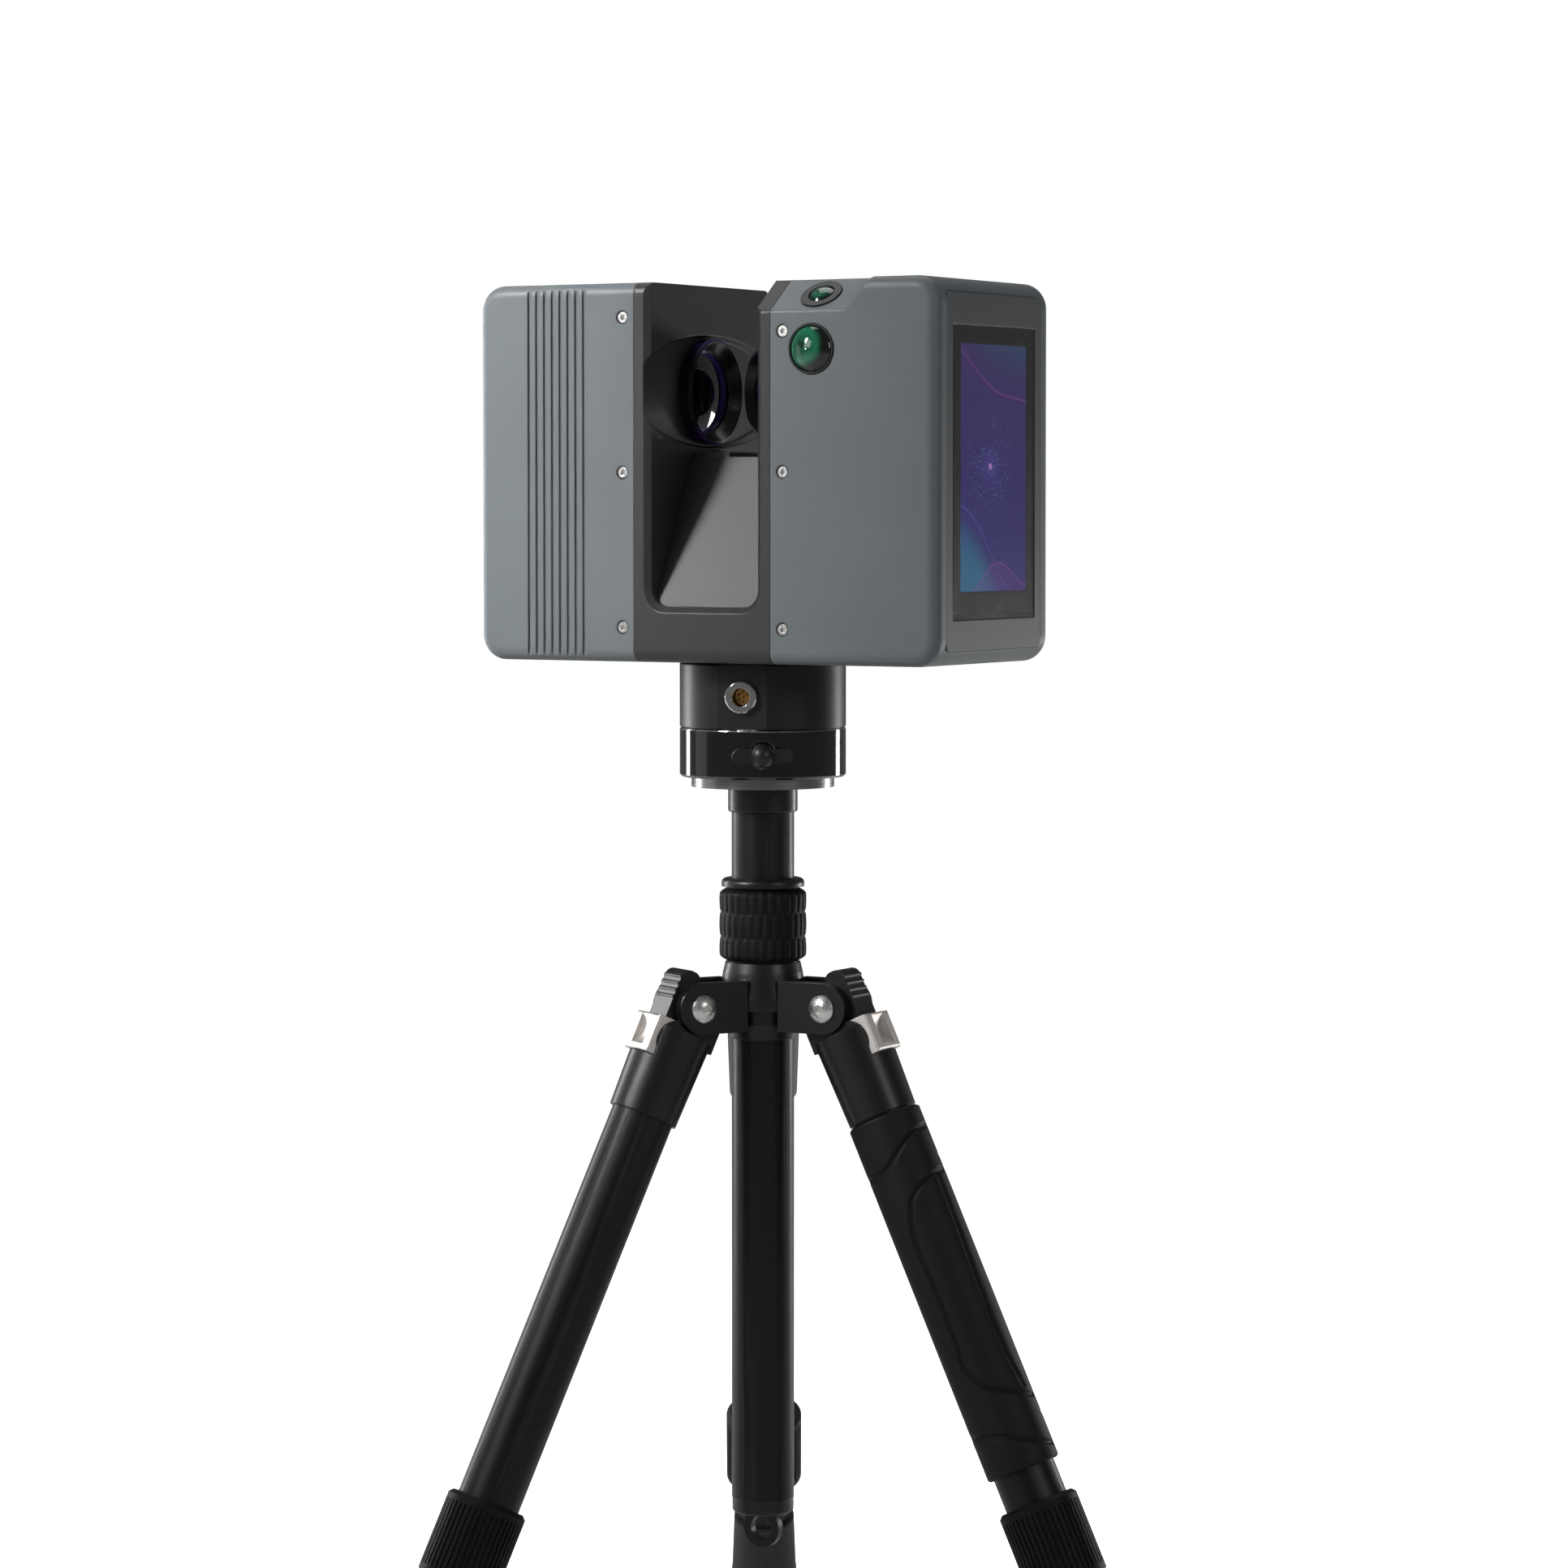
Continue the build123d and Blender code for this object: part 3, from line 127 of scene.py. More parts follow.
head_middle = Vector((0, 0, (head_low.z + head_high.z) / 2))
left_side = Vector((-0.27, 0, head_middle.z + 0.04))
tripod_middle = (0, 0, head_low.z / 2)
soft_box("key_box", (-0.85, -1.15, 1.45), left_side, 0.5, 0.5, 1.7, spread=26)
soft_box("fill_box", (-0.9, -2.3, 1.5), head_middle, 1.2, 1.2, 11)
soft_box("left_strip", (-1.9, 0.2, 0.5), tripod_middle, 0.3, 1.4, 15)
soft_box("left_wide", (-1.8, -0.86, 0.5), tripod_middle, 0.8, 1.2, 1.2)
soft_box("right_strip", (0.75, 1.85, 0.21), tripod_middle, 0.25, 0.42, 6)
soft_box("end_box", (2.2, -0.6, 1.25), head_middle, 0.8, 0.8, 6)
soft_box("top_box", (-0.2, 0.5, 2.4), head_middle, 1.6, 1.6, 12)

# %% [markdown]
# A finish is a material with a few numbers set on its shader and a small net of nodes that vary its
# colour, roughness and relief. The helpers below keep each finish short: one makes the material,
# one joins a value or another node's result to a socket, and the rest are everyday sums.

# %% Material helpers
NODE = "ShaderNode"


def finish(name, **settings):
    """A new material with plain values set straight on its Principled shader."""
    made = bpy.data.materials.new(name)
    made.use_nodes = True
    shader = made.node_tree.nodes["Principled BSDF"]
    for label, value in settings.items():
        value = (*value, 1) if isinstance(value, tuple) else value
        shader.inputs[label.replace("_", " ")].default_value = value
    return made


def shader_of(material):
    return material.node_tree.nodes["Principled BSDF"]


def feed(tree, socket, value):
    """Joins another node's result to a socket, or sets the socket's own value."""
    if isinstance(value, bpy.types.NodeSocket):
        tree.links.new(value, socket)
    elif isinstance(value, tuple) and socket.type == "RGBA" and len(value) == 3:
        socket.default_value = (*value, 1)
    else:
        socket.default_value = value


def calc(tree, operation, *values):
    """One sum on plain numbers."""
    node = tree.nodes.new(NODE + "Math")
    node.operation = operation
    for socket, value in zip(node.inputs, values):
        feed(tree, socket, value)
    return node.outputs[0]


def vector_calc(tree, operation, *values):
    """One sum on vectors."""
    node = tree.nodes.new(NODE + "VectorMath")
    node.operation = operation
    for socket, value in zip(node.inputs, values):
        feed(tree, socket, value)
    return node.outputs["Value" if operation in ("LENGTH", "DOT_PRODUCT") else "Vector"]


def band(tree, value, low, high, to_low=0.0, to_high=1.0):
    """A smooth step from to_low to to_high while value goes from low to high."""
    node = tree.nodes.new(NODE + "MapRange")
    node.interpolation_type = "SMOOTHSTEP"
    for socket, number in zip(node.inputs, (value, low, high, to_low, to_high)):
        feed(tree, socket, number)
    return node.outputs[0]


def mix(tree, share, first, second):
    """A colour that goes from first to second as share goes from 0 to 1."""
    node = tree.nodes.new(NODE + "Mix")
    node.data_type = "RGBA"
    colours = [socket for socket in node.inputs if socket.type == "RGBA"]
    feed(tree, node.inputs[0], share)
    feed(tree, colours[0], first)
    feed(tree, colours[1], second)
    return next(socket for socket in node.outputs if socket.type == "RGBA")


def noise(tree, place, scale, detail=2.0):
    """Soft noise from 0 to 1."""
    node = tree.nodes.new(NODE + "TexNoise")
    feed(tree, node.inputs["Vector"], place)
    node.inputs["Scale"].default_value = scale
    node.inputs["Detail"].default_value = detail
    return node.outputs["Fac"]


def bump(material, height, distance, normal=None, strength=1.0):
    """Relief from a height, in metres of distance, on top of another normal."""
    tree = material.node_tree
    node = tree.nodes.new(NODE + "Bump")
    node.inputs["Distance"].default_value = distance
    node.inputs["Strength"].default_value = strength
    tree.links.new(height, node.inputs["Height"])
    if normal is not None:
        tree.links.new(normal, node.inputs["Normal"])
    tree.links.new(node.outputs["Normal"], shader_of(material).inputs["Normal"])


print("helpers ready")

# %% [markdown]
# Three effects come back on many finishes, so each is a node group that is built once. Grain gives
# the fine tooth of paint, rubber and cast skin, with a wide faint blotch. Soft edges rounds sharp
# edges in the shading, as paint and tooling do, and says where the edges are. Turned gives the
# distance from an axis, for lenses, lathe lines and screw heads.

# %% Node groups
def new_group(name, inputs, outputs):
    """An empty shader node group with named sockets. Returns it with its entry and exit nodes."""
    group = bpy.data.node_groups.new(name, "ShaderNodeTree")
    for label, kind, value in inputs:
        socket = group.interface.new_socket(label, in_out="INPUT", socket_type="NodeSocket" + kind)
        socket.default_value = value
    for label, kind in outputs:
        group.interface.new_socket(label, in_out="OUTPUT", socket_type="NodeSocket" + kind)
    return group, group.nodes.new("NodeGroupInput"), group.nodes.new("NodeGroupOutput")


def object_place(tree):
    """The point on the piece, in metres of the shared frame, which rides with the piece."""
    return tree.nodes.new(NODE + "TexCoord").outputs["Object"]


def grain_group():
    group, entry, leave = new_group(
        "grain",
        [("Size", "Float", 0.0005), ("Blotch Size", "Float", 0.05)],
        [("Height", "Float"), ("Blotch", "Float")],
    )
    place = object_place(group)
    for label, size, detail in (("Height", "Size", 3.0), ("Blotch", "Blotch Size", 2.0)):
        node = group.nodes.new(NODE + "TexNoise")
        group.links.new(place, node.inputs["Vector"])
        group.links.new(calc(group, "DIVIDE", 1.0, entry.outputs[size]), node.inputs["Scale"])
        node.inputs["Detail"].default_value = detail
        group.links.new(node.outputs["Fac"], leave.inputs[label])
    return group


def soft_edges_group():
    inputs = [("Breadth", "Float", 0.001)]
    group, entry, leave = new_group("soft_edges", inputs, [("Normal", "Vector"), ("Edge", "Float")])
    bevel = group.nodes.new(NODE + "Bevel")
    bevel.samples = 4
    group.links.new(entry.outputs["Breadth"], bevel.inputs["Radius"])
    surface = group.nodes.new(NODE + "NewGeometry").outputs["Normal"]
    likeness = vector_calc(group, "DOT_PRODUCT", bevel.outputs["Normal"], surface)
    group.links.new(band(group, likeness, 0.995, 0.86), leave.inputs["Edge"])
    group.links.new(bevel.outputs["Normal"], leave.inputs["Normal"])
    return group


def turned_group():
    inputs = [("Centre", "Vector", (0, 0, 0)), ("Axis", "Vector", (0, 0, 1)), ("Radius", "Float", 0.01)]
    outputs = [("Share", "Float"), ("Along", "Float"), ("Offset", "Vector")]
    group, entry, leave = new_group("turned", inputs, outputs)
    arm = vector_calc(group, "SUBTRACT", object_place(group), entry.outputs["Centre"])
    along = vector_calc(group, "DOT_PRODUCT", arm, entry.outputs["Axis"])
    shift = group.nodes.new(NODE + "VectorMath")
    shift.operation = "SCALE"
    group.links.new(entry.outputs["Axis"], shift.inputs[0])
    group.links.new(along, shift.inputs["Scale"])
    offset = vector_calc(group, "SUBTRACT", arm, shift.outputs[0])
    share = calc(group, "DIVIDE", vector_calc(group, "LENGTH", offset), entry.outputs["Radius"])
    for label, value in (("Share", share), ("Along", along), ("Offset", offset)):
        group.links.new(value, leave.inputs[label])
    return group


groups = {"grain": grain_group(), "soft_edges": soft_edges_group(), "turned": turned_group()}


def effect(material, name, **values):
    """Places a node group in a material with its own values."""
    node = material.node_tree.nodes.new(NODE + "Group")
    node.node_tree = groups[name]
    for label, value in values.items():
        node.inputs[label.replace("_", " ")].default_value = value
    return node


def dress(material, *names):
    """Gives frame nodes a finish."""
    for name in names:
        for slot in nodes[name].material_slots:
            slot.material = material
        if not nodes[name].material_slots:
            nodes[name].data.materials.append(material)


print("node groups:", ", ".join(groups))

# %% [markdown]
# Most metal and plastic skins here are one recipe with different values: a base colour that drifts
# a little, a painted highlight that lightens the edges, a fine grain in the relief and a roughness
# that follows the grain. A function holds the recipe, so a reader sees only what differs.

# %% The skin recipe
def skin(
    name, colour, toned_colour, grain=0.0005, relief=0.00002, edge=0.0008, rough=(0.4, 0.5),
    drift=0.12, edge_highlight=0.5, **more
):
    """A painted, anodised or moulded skin, its edges lightened by a painted highlight. Colours are linear;
    lengths are in metres.
    """
    made = finish(name, Base_Color=colour, Roughness=rough[0], **more)
    tree = made.node_tree
    grains = effect(made, "grain", Size=grain, Blotch_Size=0.06)
    edges = effect(made, "soft_edges", Breadth=edge)
    darker = tuple(part * (1 - drift) for part in colour)
    lighter = tuple(part * (1 + drift) for part in colour)
    drifting = mix(tree, grains.outputs["Blotch"], darker, lighter)
    # painted highlight: the edges are lightened towards the skin's second colour
    painted_edge_highlight = calc(tree, "MULTIPLY", edges.outputs["Edge"], edge_highlight)
    tree.links.new(mix(tree, painted_edge_highlight, drifting, toned_colour), shader_of(made).inputs["Base Color"])
    roughness = band(tree, grains.outputs["Height"], 0.3, 0.7, *rough)
    tree.links.new(roughness, shader_of(made).inputs["Roughness"])
    bump(made, grains.outputs["Height"], relief, edges.outputs["Normal"])
    return made


# The second colour given to each skin is the colour of its painted edge highlight.
cover_coat = skin(
    "cover_coat", (0.140, 0.157, 0.168), (0.27, 0.29, 0.30), edge=0.0012, rough=(0.4, 0.52), edge_highlight=0.1
)
dress(cover_coat, "left_cover", "right_cover")
frame_coat = skin(
    "frame_coat", (0.034, 0.034, 0.036), (0.12, 0.12, 0.12), edge=0.001, rough=(0.36, 0.46), edge_highlight=0.3
)
dress(frame_coat, "centre_frame", "mirror_pedestal")
base_coat = skin("base_coat", (0.008, 0.008, 0.008), (0.05, 0.05, 0.05), grain=0.0003, rough=(0.32, 0.42))
dress(base_coat, "base_housing")
black_alloy = skin(
    "black_alloy", (0.005, 0.005, 0.0055), (0.04, 0.04, 0.04),
    grain=0.0004, relief=0.00001, rough=(0.32, 0.42), Coat_Weight=0.05,
)
dress(black_alloy, "crown", "column_collar", "column_lock_sleeve", "column_hook")
dress(black_alloy, *(f"leg_{leg}_casting" for leg in (1, 2, 3)))
rotor_black = skin("rotor_black", (0.012, 0.011, 0.012), (0.04, 0.04, 0.04), rough=(0.35, 0.45))
dress(rotor_black, "mirror_drum", "laser_module")
knob_plastic = skin(
    "knob_plastic", (0.012, 0.012, 0.012), (0.04, 0.04, 0.04), grain=0.0004, rough=(0.3, 0.42)
)
dress(knob_plastic, "clamp_knob", "power_button", "battery_packs")
foot_rubber = skin(
    "foot_rubber", (0.018, 0.018, 0.018), (0.05, 0.05, 0.05), grain=0.0008, relief=0.00006, rough=(0.65, 0.8)
)
dress(foot_rubber, *(f"leg_{leg}_foot" for leg in (1, 2, 3)))
print("skins:", len(bpy.data.materials))

# %% [markdown]
# The quick-release adapter is polished black with a bare silver line round its top edge. The line
# is a band of height, found from the frame, so it stays put whatever the size of the adapter.

# %% Adapter with its silver line
adapter_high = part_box("adapter_body")[1]
adapter_gloss = skin(
    "adapter_gloss", (0.006, 0.006, 0.006), (0.5, 0.5, 0.5),
    grain=0.0002, relief=0.000004, rough=(0.08, 0.13), Coat_Weight=0.6,
)
tree = adapter_gloss.node_tree
height = tree.nodes.new(NODE + "SeparateXYZ")
tree.links.new(object_place(tree), height.inputs[0])
line = band(tree, height.outputs["Z"], adapter_high.z - 0.0014, adapter_high.z - 0.0010)
black = shader_of(adapter_gloss).inputs["Base Color"].links[0].from_socket
tree.links.new(mix(tree, line, black, (0.62, 0.6, 0.58)), shader_of(adapter_gloss).inputs["Base Color"])
tree.links.new(line, shader_of(adapter_gloss).inputs["Metallic"])
dress(adapter_gloss, "adapter_body")
print("silver line at", round(adapter_high.z, 4), "m")

# %% [markdown]
# Bare metal is brushed, turned or ground. Turned parts have fine rings round their axis, which the
# turned group finds.

# %% Bare metals
def turned_metal(name, colour, centre, axis, radius, lines=60.0, rough=(0.22, 0.34), metal=1.0, **more):
    """Metal from the lathe, with fine rings about its axis."""
    made = finish(name, Base_Color=colour, Metallic=metal, **more)
    tree = made.node_tree
    edges = effect(made, "soft_edges", Breadth=0.0004)
    about = effect(made, "turned", Centre=centre, Axis=axis, Radius=radius)
    spot = tree.nodes.new(NODE + "CombineXYZ")
    tree.links.new(about.outputs["Share"], spot.inputs["X"])
    tree.links.new(calc(tree, "DIVIDE", about.outputs["Along"], radius), spot.inputs["Y"])
    rings = noise(tree, spot.outputs[0], lines, 3.0)
    toned_colour = mix(tree, rings, tuple(part * 0.82 for part in colour), colour)
    tree.links.new(toned_colour, shader_of(made).inputs["Base Color"])
    tree.links.new(band(tree, rings, 0.3, 0.7, *rough), shader_of(made).inputs["Roughness"])
    bump(made, rings, 0.000006, edges.outputs["Normal"])
    return made


up = (0, 0, 1)
plate_silver = turned_metal("plate_silver", (0.34, 0.34, 0.35), (0, 0, 0), up, 0.0365)
dress(plate_silver, "adapter_plate", "pan_spindle", "encoder_disc")
shaft_steel = turned_metal("shaft_steel", (0.55, 0.55, 0.56), mirror_axis, (1, 0, 0), 0.012)
dress(shaft_steel, "mirror_shaft", "mirror_bearings", "pan_bearing")


def ground_metal(name, colour, grain, rough, metal=1.0, edge=0.0004, relief=0.000008):
    """Ground or cast metal with no clear direction."""
    return skin(name, colour, colour, grain, relief, edge, rough, drift=0.18, edge_highlight=0.0, Metallic=metal)


screw_steel = ground_metal("screw_steel", (0.9, 0.88, 0.86), 0.0008, (0.24, 0.38))
dress(screw_steel, "cover_screws", "hinge_bolts")
tab_silver = ground_metal("tab_silver", (0.82, 0.78, 0.74), 0.0003, (0.42, 0.54))
dress(tab_silver, *(f"leg_{leg}_angle_tab" for leg in (1, 2, 3)))
socket_chrome = ground_metal("socket_chrome", (0.82, 0.82, 0.84), 0.0006, (0.05, 0.1))
tree = socket_chrome.node_tree
pins_arm = vector_calc(tree, "SUBTRACT", object_place(tree), middle("power_socket_insert"))
from_pins = vector_calc(tree, "LENGTH", pins_arm)
bright = shader_of(socket_chrome).inputs["Base Color"].links[0].from_socket
ringed = mix(tree, band(tree, from_pins, 0.0062, 0.0070), (0.01, 0.01, 0.01), bright)
tree.links.new(ringed, shader_of(socket_chrome).inputs["Base Color"])
dress(socket_chrome, "power_socket_shell")
socket_gold = ground_metal("socket_gold", (0.55, 0.3, 0.1), 0.0005, (0.2, 0.3))
dress(socket_gold, "power_socket_insert")
motor_iron = ground_metal("motor_iron", (0.3, 0.22, 0.16), 0.001, (0.4, 0.6))
dress(motor_iron, "mirror_motor_stator", "mirror_motor_rotor", "pan_motor_rotor", "pan_motor_stator")
mirror_coat = ground_metal("mirror_coat", (0.86, 0.86, 0.9), 0.004, (0.01, 0.02), relief=0.0000001)
dress(mirror_coat, "scan_mirror")
print("bare metals done")

# %% [markdown]
# The main board is green lacquer over copper tracks. It sits inside the right cover, so a simple
# net of brick-shaped tracks is enough.

# %% Main board
board = skin("board", (0.01, 0.09, 0.035), (0.3, 0.25, 0.1), rough=(0.25, 0.35))
tree = board.node_tree
tracks = tree.nodes.new(NODE + "TexBrick")
tree.links.new(object_place(tree), tracks.inputs["Vector"])
tracks.inputs["Scale"].default_value = 120.0
tracks.inputs["Mortar Size"].default_value = 0.04
green = shader_of(board).inputs["Base Color"].links[0].from_socket
tracked = mix(tree, tracks.outputs["Fac"], green, (0.35, 0.24, 0.09))
tree.links.new(tracked, shader_of(board).inputs["Base Color"])
dress(board, "main_board")
print("board at x", round(middle("main_board").x, 3), "m")

# %% [markdown]
# Carbon tube is drawn or wrapped along its length and lacquered, and shows long faint streaks. Each
# tube leans its own way, so its material turns the point into the tube's own directions first: two
# across and one along. Noise is then stretched along the tube.

# %% Carbon tubes
def tube_line(node):
    """A point on a tube's axis and the axis's direction, from the spread of its vertices."""
    points = np.array([vertex.co for vertex in nodes[node].data.vertices])
    centre = points.mean(axis=0)
    spread = np.linalg.eigh(np.cov((points - centre).T))[1]
    axis = spread[:, 2]
    return Vector(centre), Vector(axis if axis[2] < 0 else -axis)


def carbon(name, axis):
    """Lacquered carbon with streaks along axis."""
    made = finish(
        name, Base_Color=(0.02, 0.02, 0.02), Specular_IOR_Level=0.3, Coat_Weight=0.08, Coat_Roughness=0.25
    )
    tree = made.node_tree
    across = axis.cross(Vector((0, 1, 0.001))).normalized()
    beside = axis.cross(across)
    point = object_place(tree)
    turned = tree.nodes.new(NODE + "CombineXYZ")
    for label, direction in (("X", across), ("Y", beside), ("Z", axis * 0.02)):
        tree.links.new(vector_calc(tree, "DOT_PRODUCT", point, tuple(direction)), turned.inputs[label])
    streaks = noise(tree, turned.outputs[0], 420.0, 4.0)
    broad = noise(tree, turned.outputs[0], 110.0, 2.0)
    strands = calc(tree, "MULTIPLY", band(tree, streaks, 0.42, 0.68), band(tree, broad, 0.35, 0.7))
    weave = mix(tree, strands, (0.005, 0.005, 0.0055), (0.034, 0.033, 0.034))
    tree.links.new(weave, shader_of(made).inputs["Base Color"])
    tree.links.new(band(tree, streaks, 0.3, 0.7, 0.36, 0.52), shader_of(made).inputs["Roughness"])
    bump(made, streaks, 0.00003)
    return made


column_carbon = carbon("column_carbon", Vector((0, 0, -1)))
dress(column_carbon, "column_tube")
for leg in (1, 2, 3):
    leg_carbon = carbon(f"leg_{leg}_carbon", tube_line(f"leg_{leg}_lower_tube")[1])
    dress(leg_carbon, f"leg_{leg}_upper_tube", f"leg_{leg}_lower_tube")
print("leg 1 points along", [round(part, 3) for part in tube_line("leg_1_lower_tube")[1]])

# %% [markdown]
# Each camera is a glass dome over a dark barrel, with the green tint of its coating painted in rings
# round a point on the glass: green round it, and dark towards the far rim. On the front lens the point
# sits up and to the left, so its green is partly the coating's tint and partly a painted reflection,
# and its dark lower right is painted shade. The receiver lens gets a painted violet reflection on its
# far side in the same way.

# %% Camera glass
def lens_coat(name, node, axis, radius, rings, painted_light_lean=(0, 0, 0), rough=0.06):
    """Coated glass: rings lists (share of the radius, linear colour) from the middle outwards.

    The lean moves the rings off the axis, towards the side it points to: it paints a reflection on that side
    and shade on the other.
    """
    made = finish(name, Base_Color=rings[0][1], Coat_Weight=1.0, Coat_Roughness=0.02, Roughness=rough)
    tree = made.node_tree
    centre = middle(node) + Vector(painted_light_lean) * radius
    about = effect(made, "turned", Centre=centre, Axis=axis, Radius=radius)
    grains = effect(made, "grain", Size=0.004, Blotch_Size=0.008)
    wander = band(tree, grains.outputs["Blotch"], 0.2, 0.8, -0.06, 0.06)
    share = calc(tree, "ADD", about.outputs["Share"], wander)
    colour = rings[0][1]
    for (low, _), (high, next_colour) in zip(rings, rings[1:]):
        colour = mix(tree, band(tree, share, low, high), colour, next_colour)
    tree.links.new(colour, shader_of(made).inputs["Base Color"])
    return made


slope_axis = Vector((0, -0.606, 0.795))
glass_black = (0.001, 0.004, 0.003)
front_rings = [
    (0.0, (0.004, 0.03, 0.016)), (0.25, (0.008, 0.1, 0.05)), (0.7, (0.012, 0.17, 0.08)), (1.0, glass_black),
]
# painted reflection and shade: the rings sit up and to the left, so the green is brighter there and the lower
# right is dark
front_glass = lens_coat("front_glass", "front_camera_lens", (0, -1, 0), 0.0114, front_rings, (-0.28, 0, 0.15))
dress(front_glass, "front_camera_lens")
top_rings = [(0.0, glass_black), (0.4, (0.02, 0.14, 0.08)), (0.95, glass_black)]
top_glass = lens_coat("top_glass", "top_camera_lens", tuple(slope_axis), 0.0066, top_rings)
dress(top_glass, "top_camera_lens")
optic_black = (0.001, 0.001, 0.002)
# painted reflection: the violet outer ring, with the rings moved towards -y, shows as a crescent on the far
# side of the receiver lens
optic_rings = [(0.0, optic_black), (0.8, optic_black), (1.12, (0.06, 0.025, 0.26))]
optic_glass = lens_coat("optic_glass", "receiver_lens", (1, 0, 0), 0.0205, optic_rings, (0, -0.3, 0))
dress(optic_glass, "receiver_lens")
front_middle = middle("front_camera_lens")
camera_black = turned_metal(
    "camera_black", (0.004, 0.004, 0.004), front_middle, (0, -1, 0), 0.012, 30.0, (0.25, 0.4), 0.0
)
dress(camera_black, "camera_barrels")
print("front lens at", [round(part, 3) for part in middle("front_camera_lens")])

# %% [markdown]
# The ring round the receiver lens is turned and black. A violet reflection of the lens coating is
# painted on its rim, at the top and bottom only.

# %% Window ring
window_black = turned_metal(
    "window_black", (0.004, 0.004, 0.005), mirror_axis, (1, 0, 0), 0.027, 40.0, (0.18, 0.3), 0.0
)
tree = window_black.node_tree
about = effect(window_black, "turned", Centre=mirror_axis, Axis=(1, 0, 0), Radius=0.027)
# painted reflection: a violet band on the rim of the ring, kept to its top and bottom
painted_violet_reflection = calc(
    tree, "MULTIPLY",
    band(tree, about.outputs["Share"], 0.955, 0.985),
    band(tree, about.outputs["Share"], 1.005, 0.99),
)
height = tree.nodes.new(NODE + "SeparateXYZ")
tree.links.new(about.outputs["Offset"], height.inputs[0])
upright = band(tree, calc(tree, "ABSOLUTE", height.outputs["Z"]), 0.016, 0.026)
painted_violet_reflection = calc(tree, "MULTIPLY", painted_violet_reflection, upright)
plain = shader_of(window_black).inputs["Base Color"].links[0].from_socket
tree.links.new(mix(tree, painted_violet_reflection, plain, (0.09, 0.03, 0.28)), shader_of(window_black).inputs["Base Color"])
dress(window_black, "window_ring")
print("ring radius", round((ring_high.z - ring_low.z) / 2, 4), "m")

# %% [markdown]
# The screen end is a coated bezel with a sheet of glass let into it. The bezel is black under the
# glass, as the printed border of a screen is, and grey outside. Where the glass lies is known from
# the frame, so a mask on the point's y and z draws the border.

# %% Bezel
def window_mask(tree, low, high, soft=0.0002):
    """1 inside a rectangle on the end face from low to high, fading over soft metres."""
    point = tree.nodes.new(NODE + "SeparateXYZ")
    tree.links.new(object_place(tree), point.inputs[0])
    share = None
    for axis in ("Y", "Z"):
        start, end = getattr(low, axis.lower()), getattr(high, axis.lower())
        inside = calc(
            tree, "MULTIPLY",
            band(tree, point.outputs[axis], start - soft, start + soft),
            band(tree, point.outputs[axis], end + soft, end - soft),
        )
        share = inside if share is None else calc(tree, "MULTIPLY", share, inside)
    return share


glass_low, glass_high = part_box("screen_glass")
bezel_coat = skin("bezel_coat", (0.085, 0.092, 0.1), (0.2, 0.22, 0.23), edge=0.0006, rough=(0.36, 0.48))
tree = bezel_coat.node_tree
grey = shader_of(bezel_coat).inputs["Base Color"].links[0].from_socket
bordered = mix(tree, window_mask(tree, glass_low, glass_high), grey, (0.003, 0.003, 0.003))
tree.links.new(bordered, shader_of(bezel_coat).inputs["Base Color"])
dress(bezel_coat, "screen_bezel")
print("glass", round(glass_high.y - glass_low.y, 3), "by", round(glass_high.z - glass_low.z, 3), "m")

# %% [markdown]
# The display shows a quiet wallpaper: violet at the top, blue below, two teal hills with a bright
# ridge line, and a scatter of light round a glowing point. Hills are sine waves compared with the
# height on the screen, so the whole picture is worked out and has no image behind it.

# %% Display picture
panel_low, panel_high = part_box("display_panel")
display = finish("display", Base_Color=(0.002, 0.002, 0.004), Roughness=0.25, Emission_Strength=0.5)
tree = display.node_tree
point = tree.nodes.new(NODE + "SeparateXYZ")
tree.links.new(object_place(tree), point.inputs[0])


def share_across(socket, low, high):
    """0 at low and 1 at high, in a straight line."""
    return calc(tree, "DIVIDE", calc(tree, "SUBTRACT", socket, low), high - low)


def wave(across, level, slope, swing, turns, start):
    """A height on the screen: a line with a sine wave on it."""
    angle = calc(tree, "ADD", calc(tree, "MULTIPLY", across, turns * tau), start)
    swell = calc(tree, "MULTIPLY", calc(tree, "SINE", angle), swing)
    return calc(tree, "ADD", calc(tree, "ADD", calc(tree, "MULTIPLY", across, slope), level), swell)


def ridge(height, edge, thickness):
    """1 along an edge line, fading on both sides."""
    gap = calc(tree, "ABSOLUTE", calc(tree, "SUBTRACT", height, edge))
    return band(tree, gap, thickness, 0.0)


across = share_across(point.outputs["Y"], panel_low.y, panel_high.y)
tall = share_across(point.outputs["Z"], panel_low.z, panel_high.z)
picture = mix(tree, tall, (0.035, 0.03, 0.26), (0.06, 0.028, 0.18))
low_hill = wave(across, 0.32, -0.36, 0.05, 0.9, 0.6)
high_hill = wave(across, 0.95, -0.2, 0.03, 0.8, 2.2)
mauve_hill = wave(across, 0.02, 0.06, 0.06, 1.0, 4.4)
above = band(tree, tall, high_hill, calc(tree, "ADD", high_hill, 0.35))
picture = mix(tree, above, picture, (0.02, 0.10, 0.2))
below = band(tree, tall, low_hill, calc(tree, "SUBTRACT", low_hill, 0.22))
picture = mix(tree, below, picture, (0.03, 0.2, 0.4))
under = band(tree, tall, mauve_hill, calc(tree, "SUBTRACT", mauve_hill, 0.02))
picture = mix(tree, calc(tree, "MULTIPLY", under, 0.35), picture, (0.16, 0.04, 0.33))
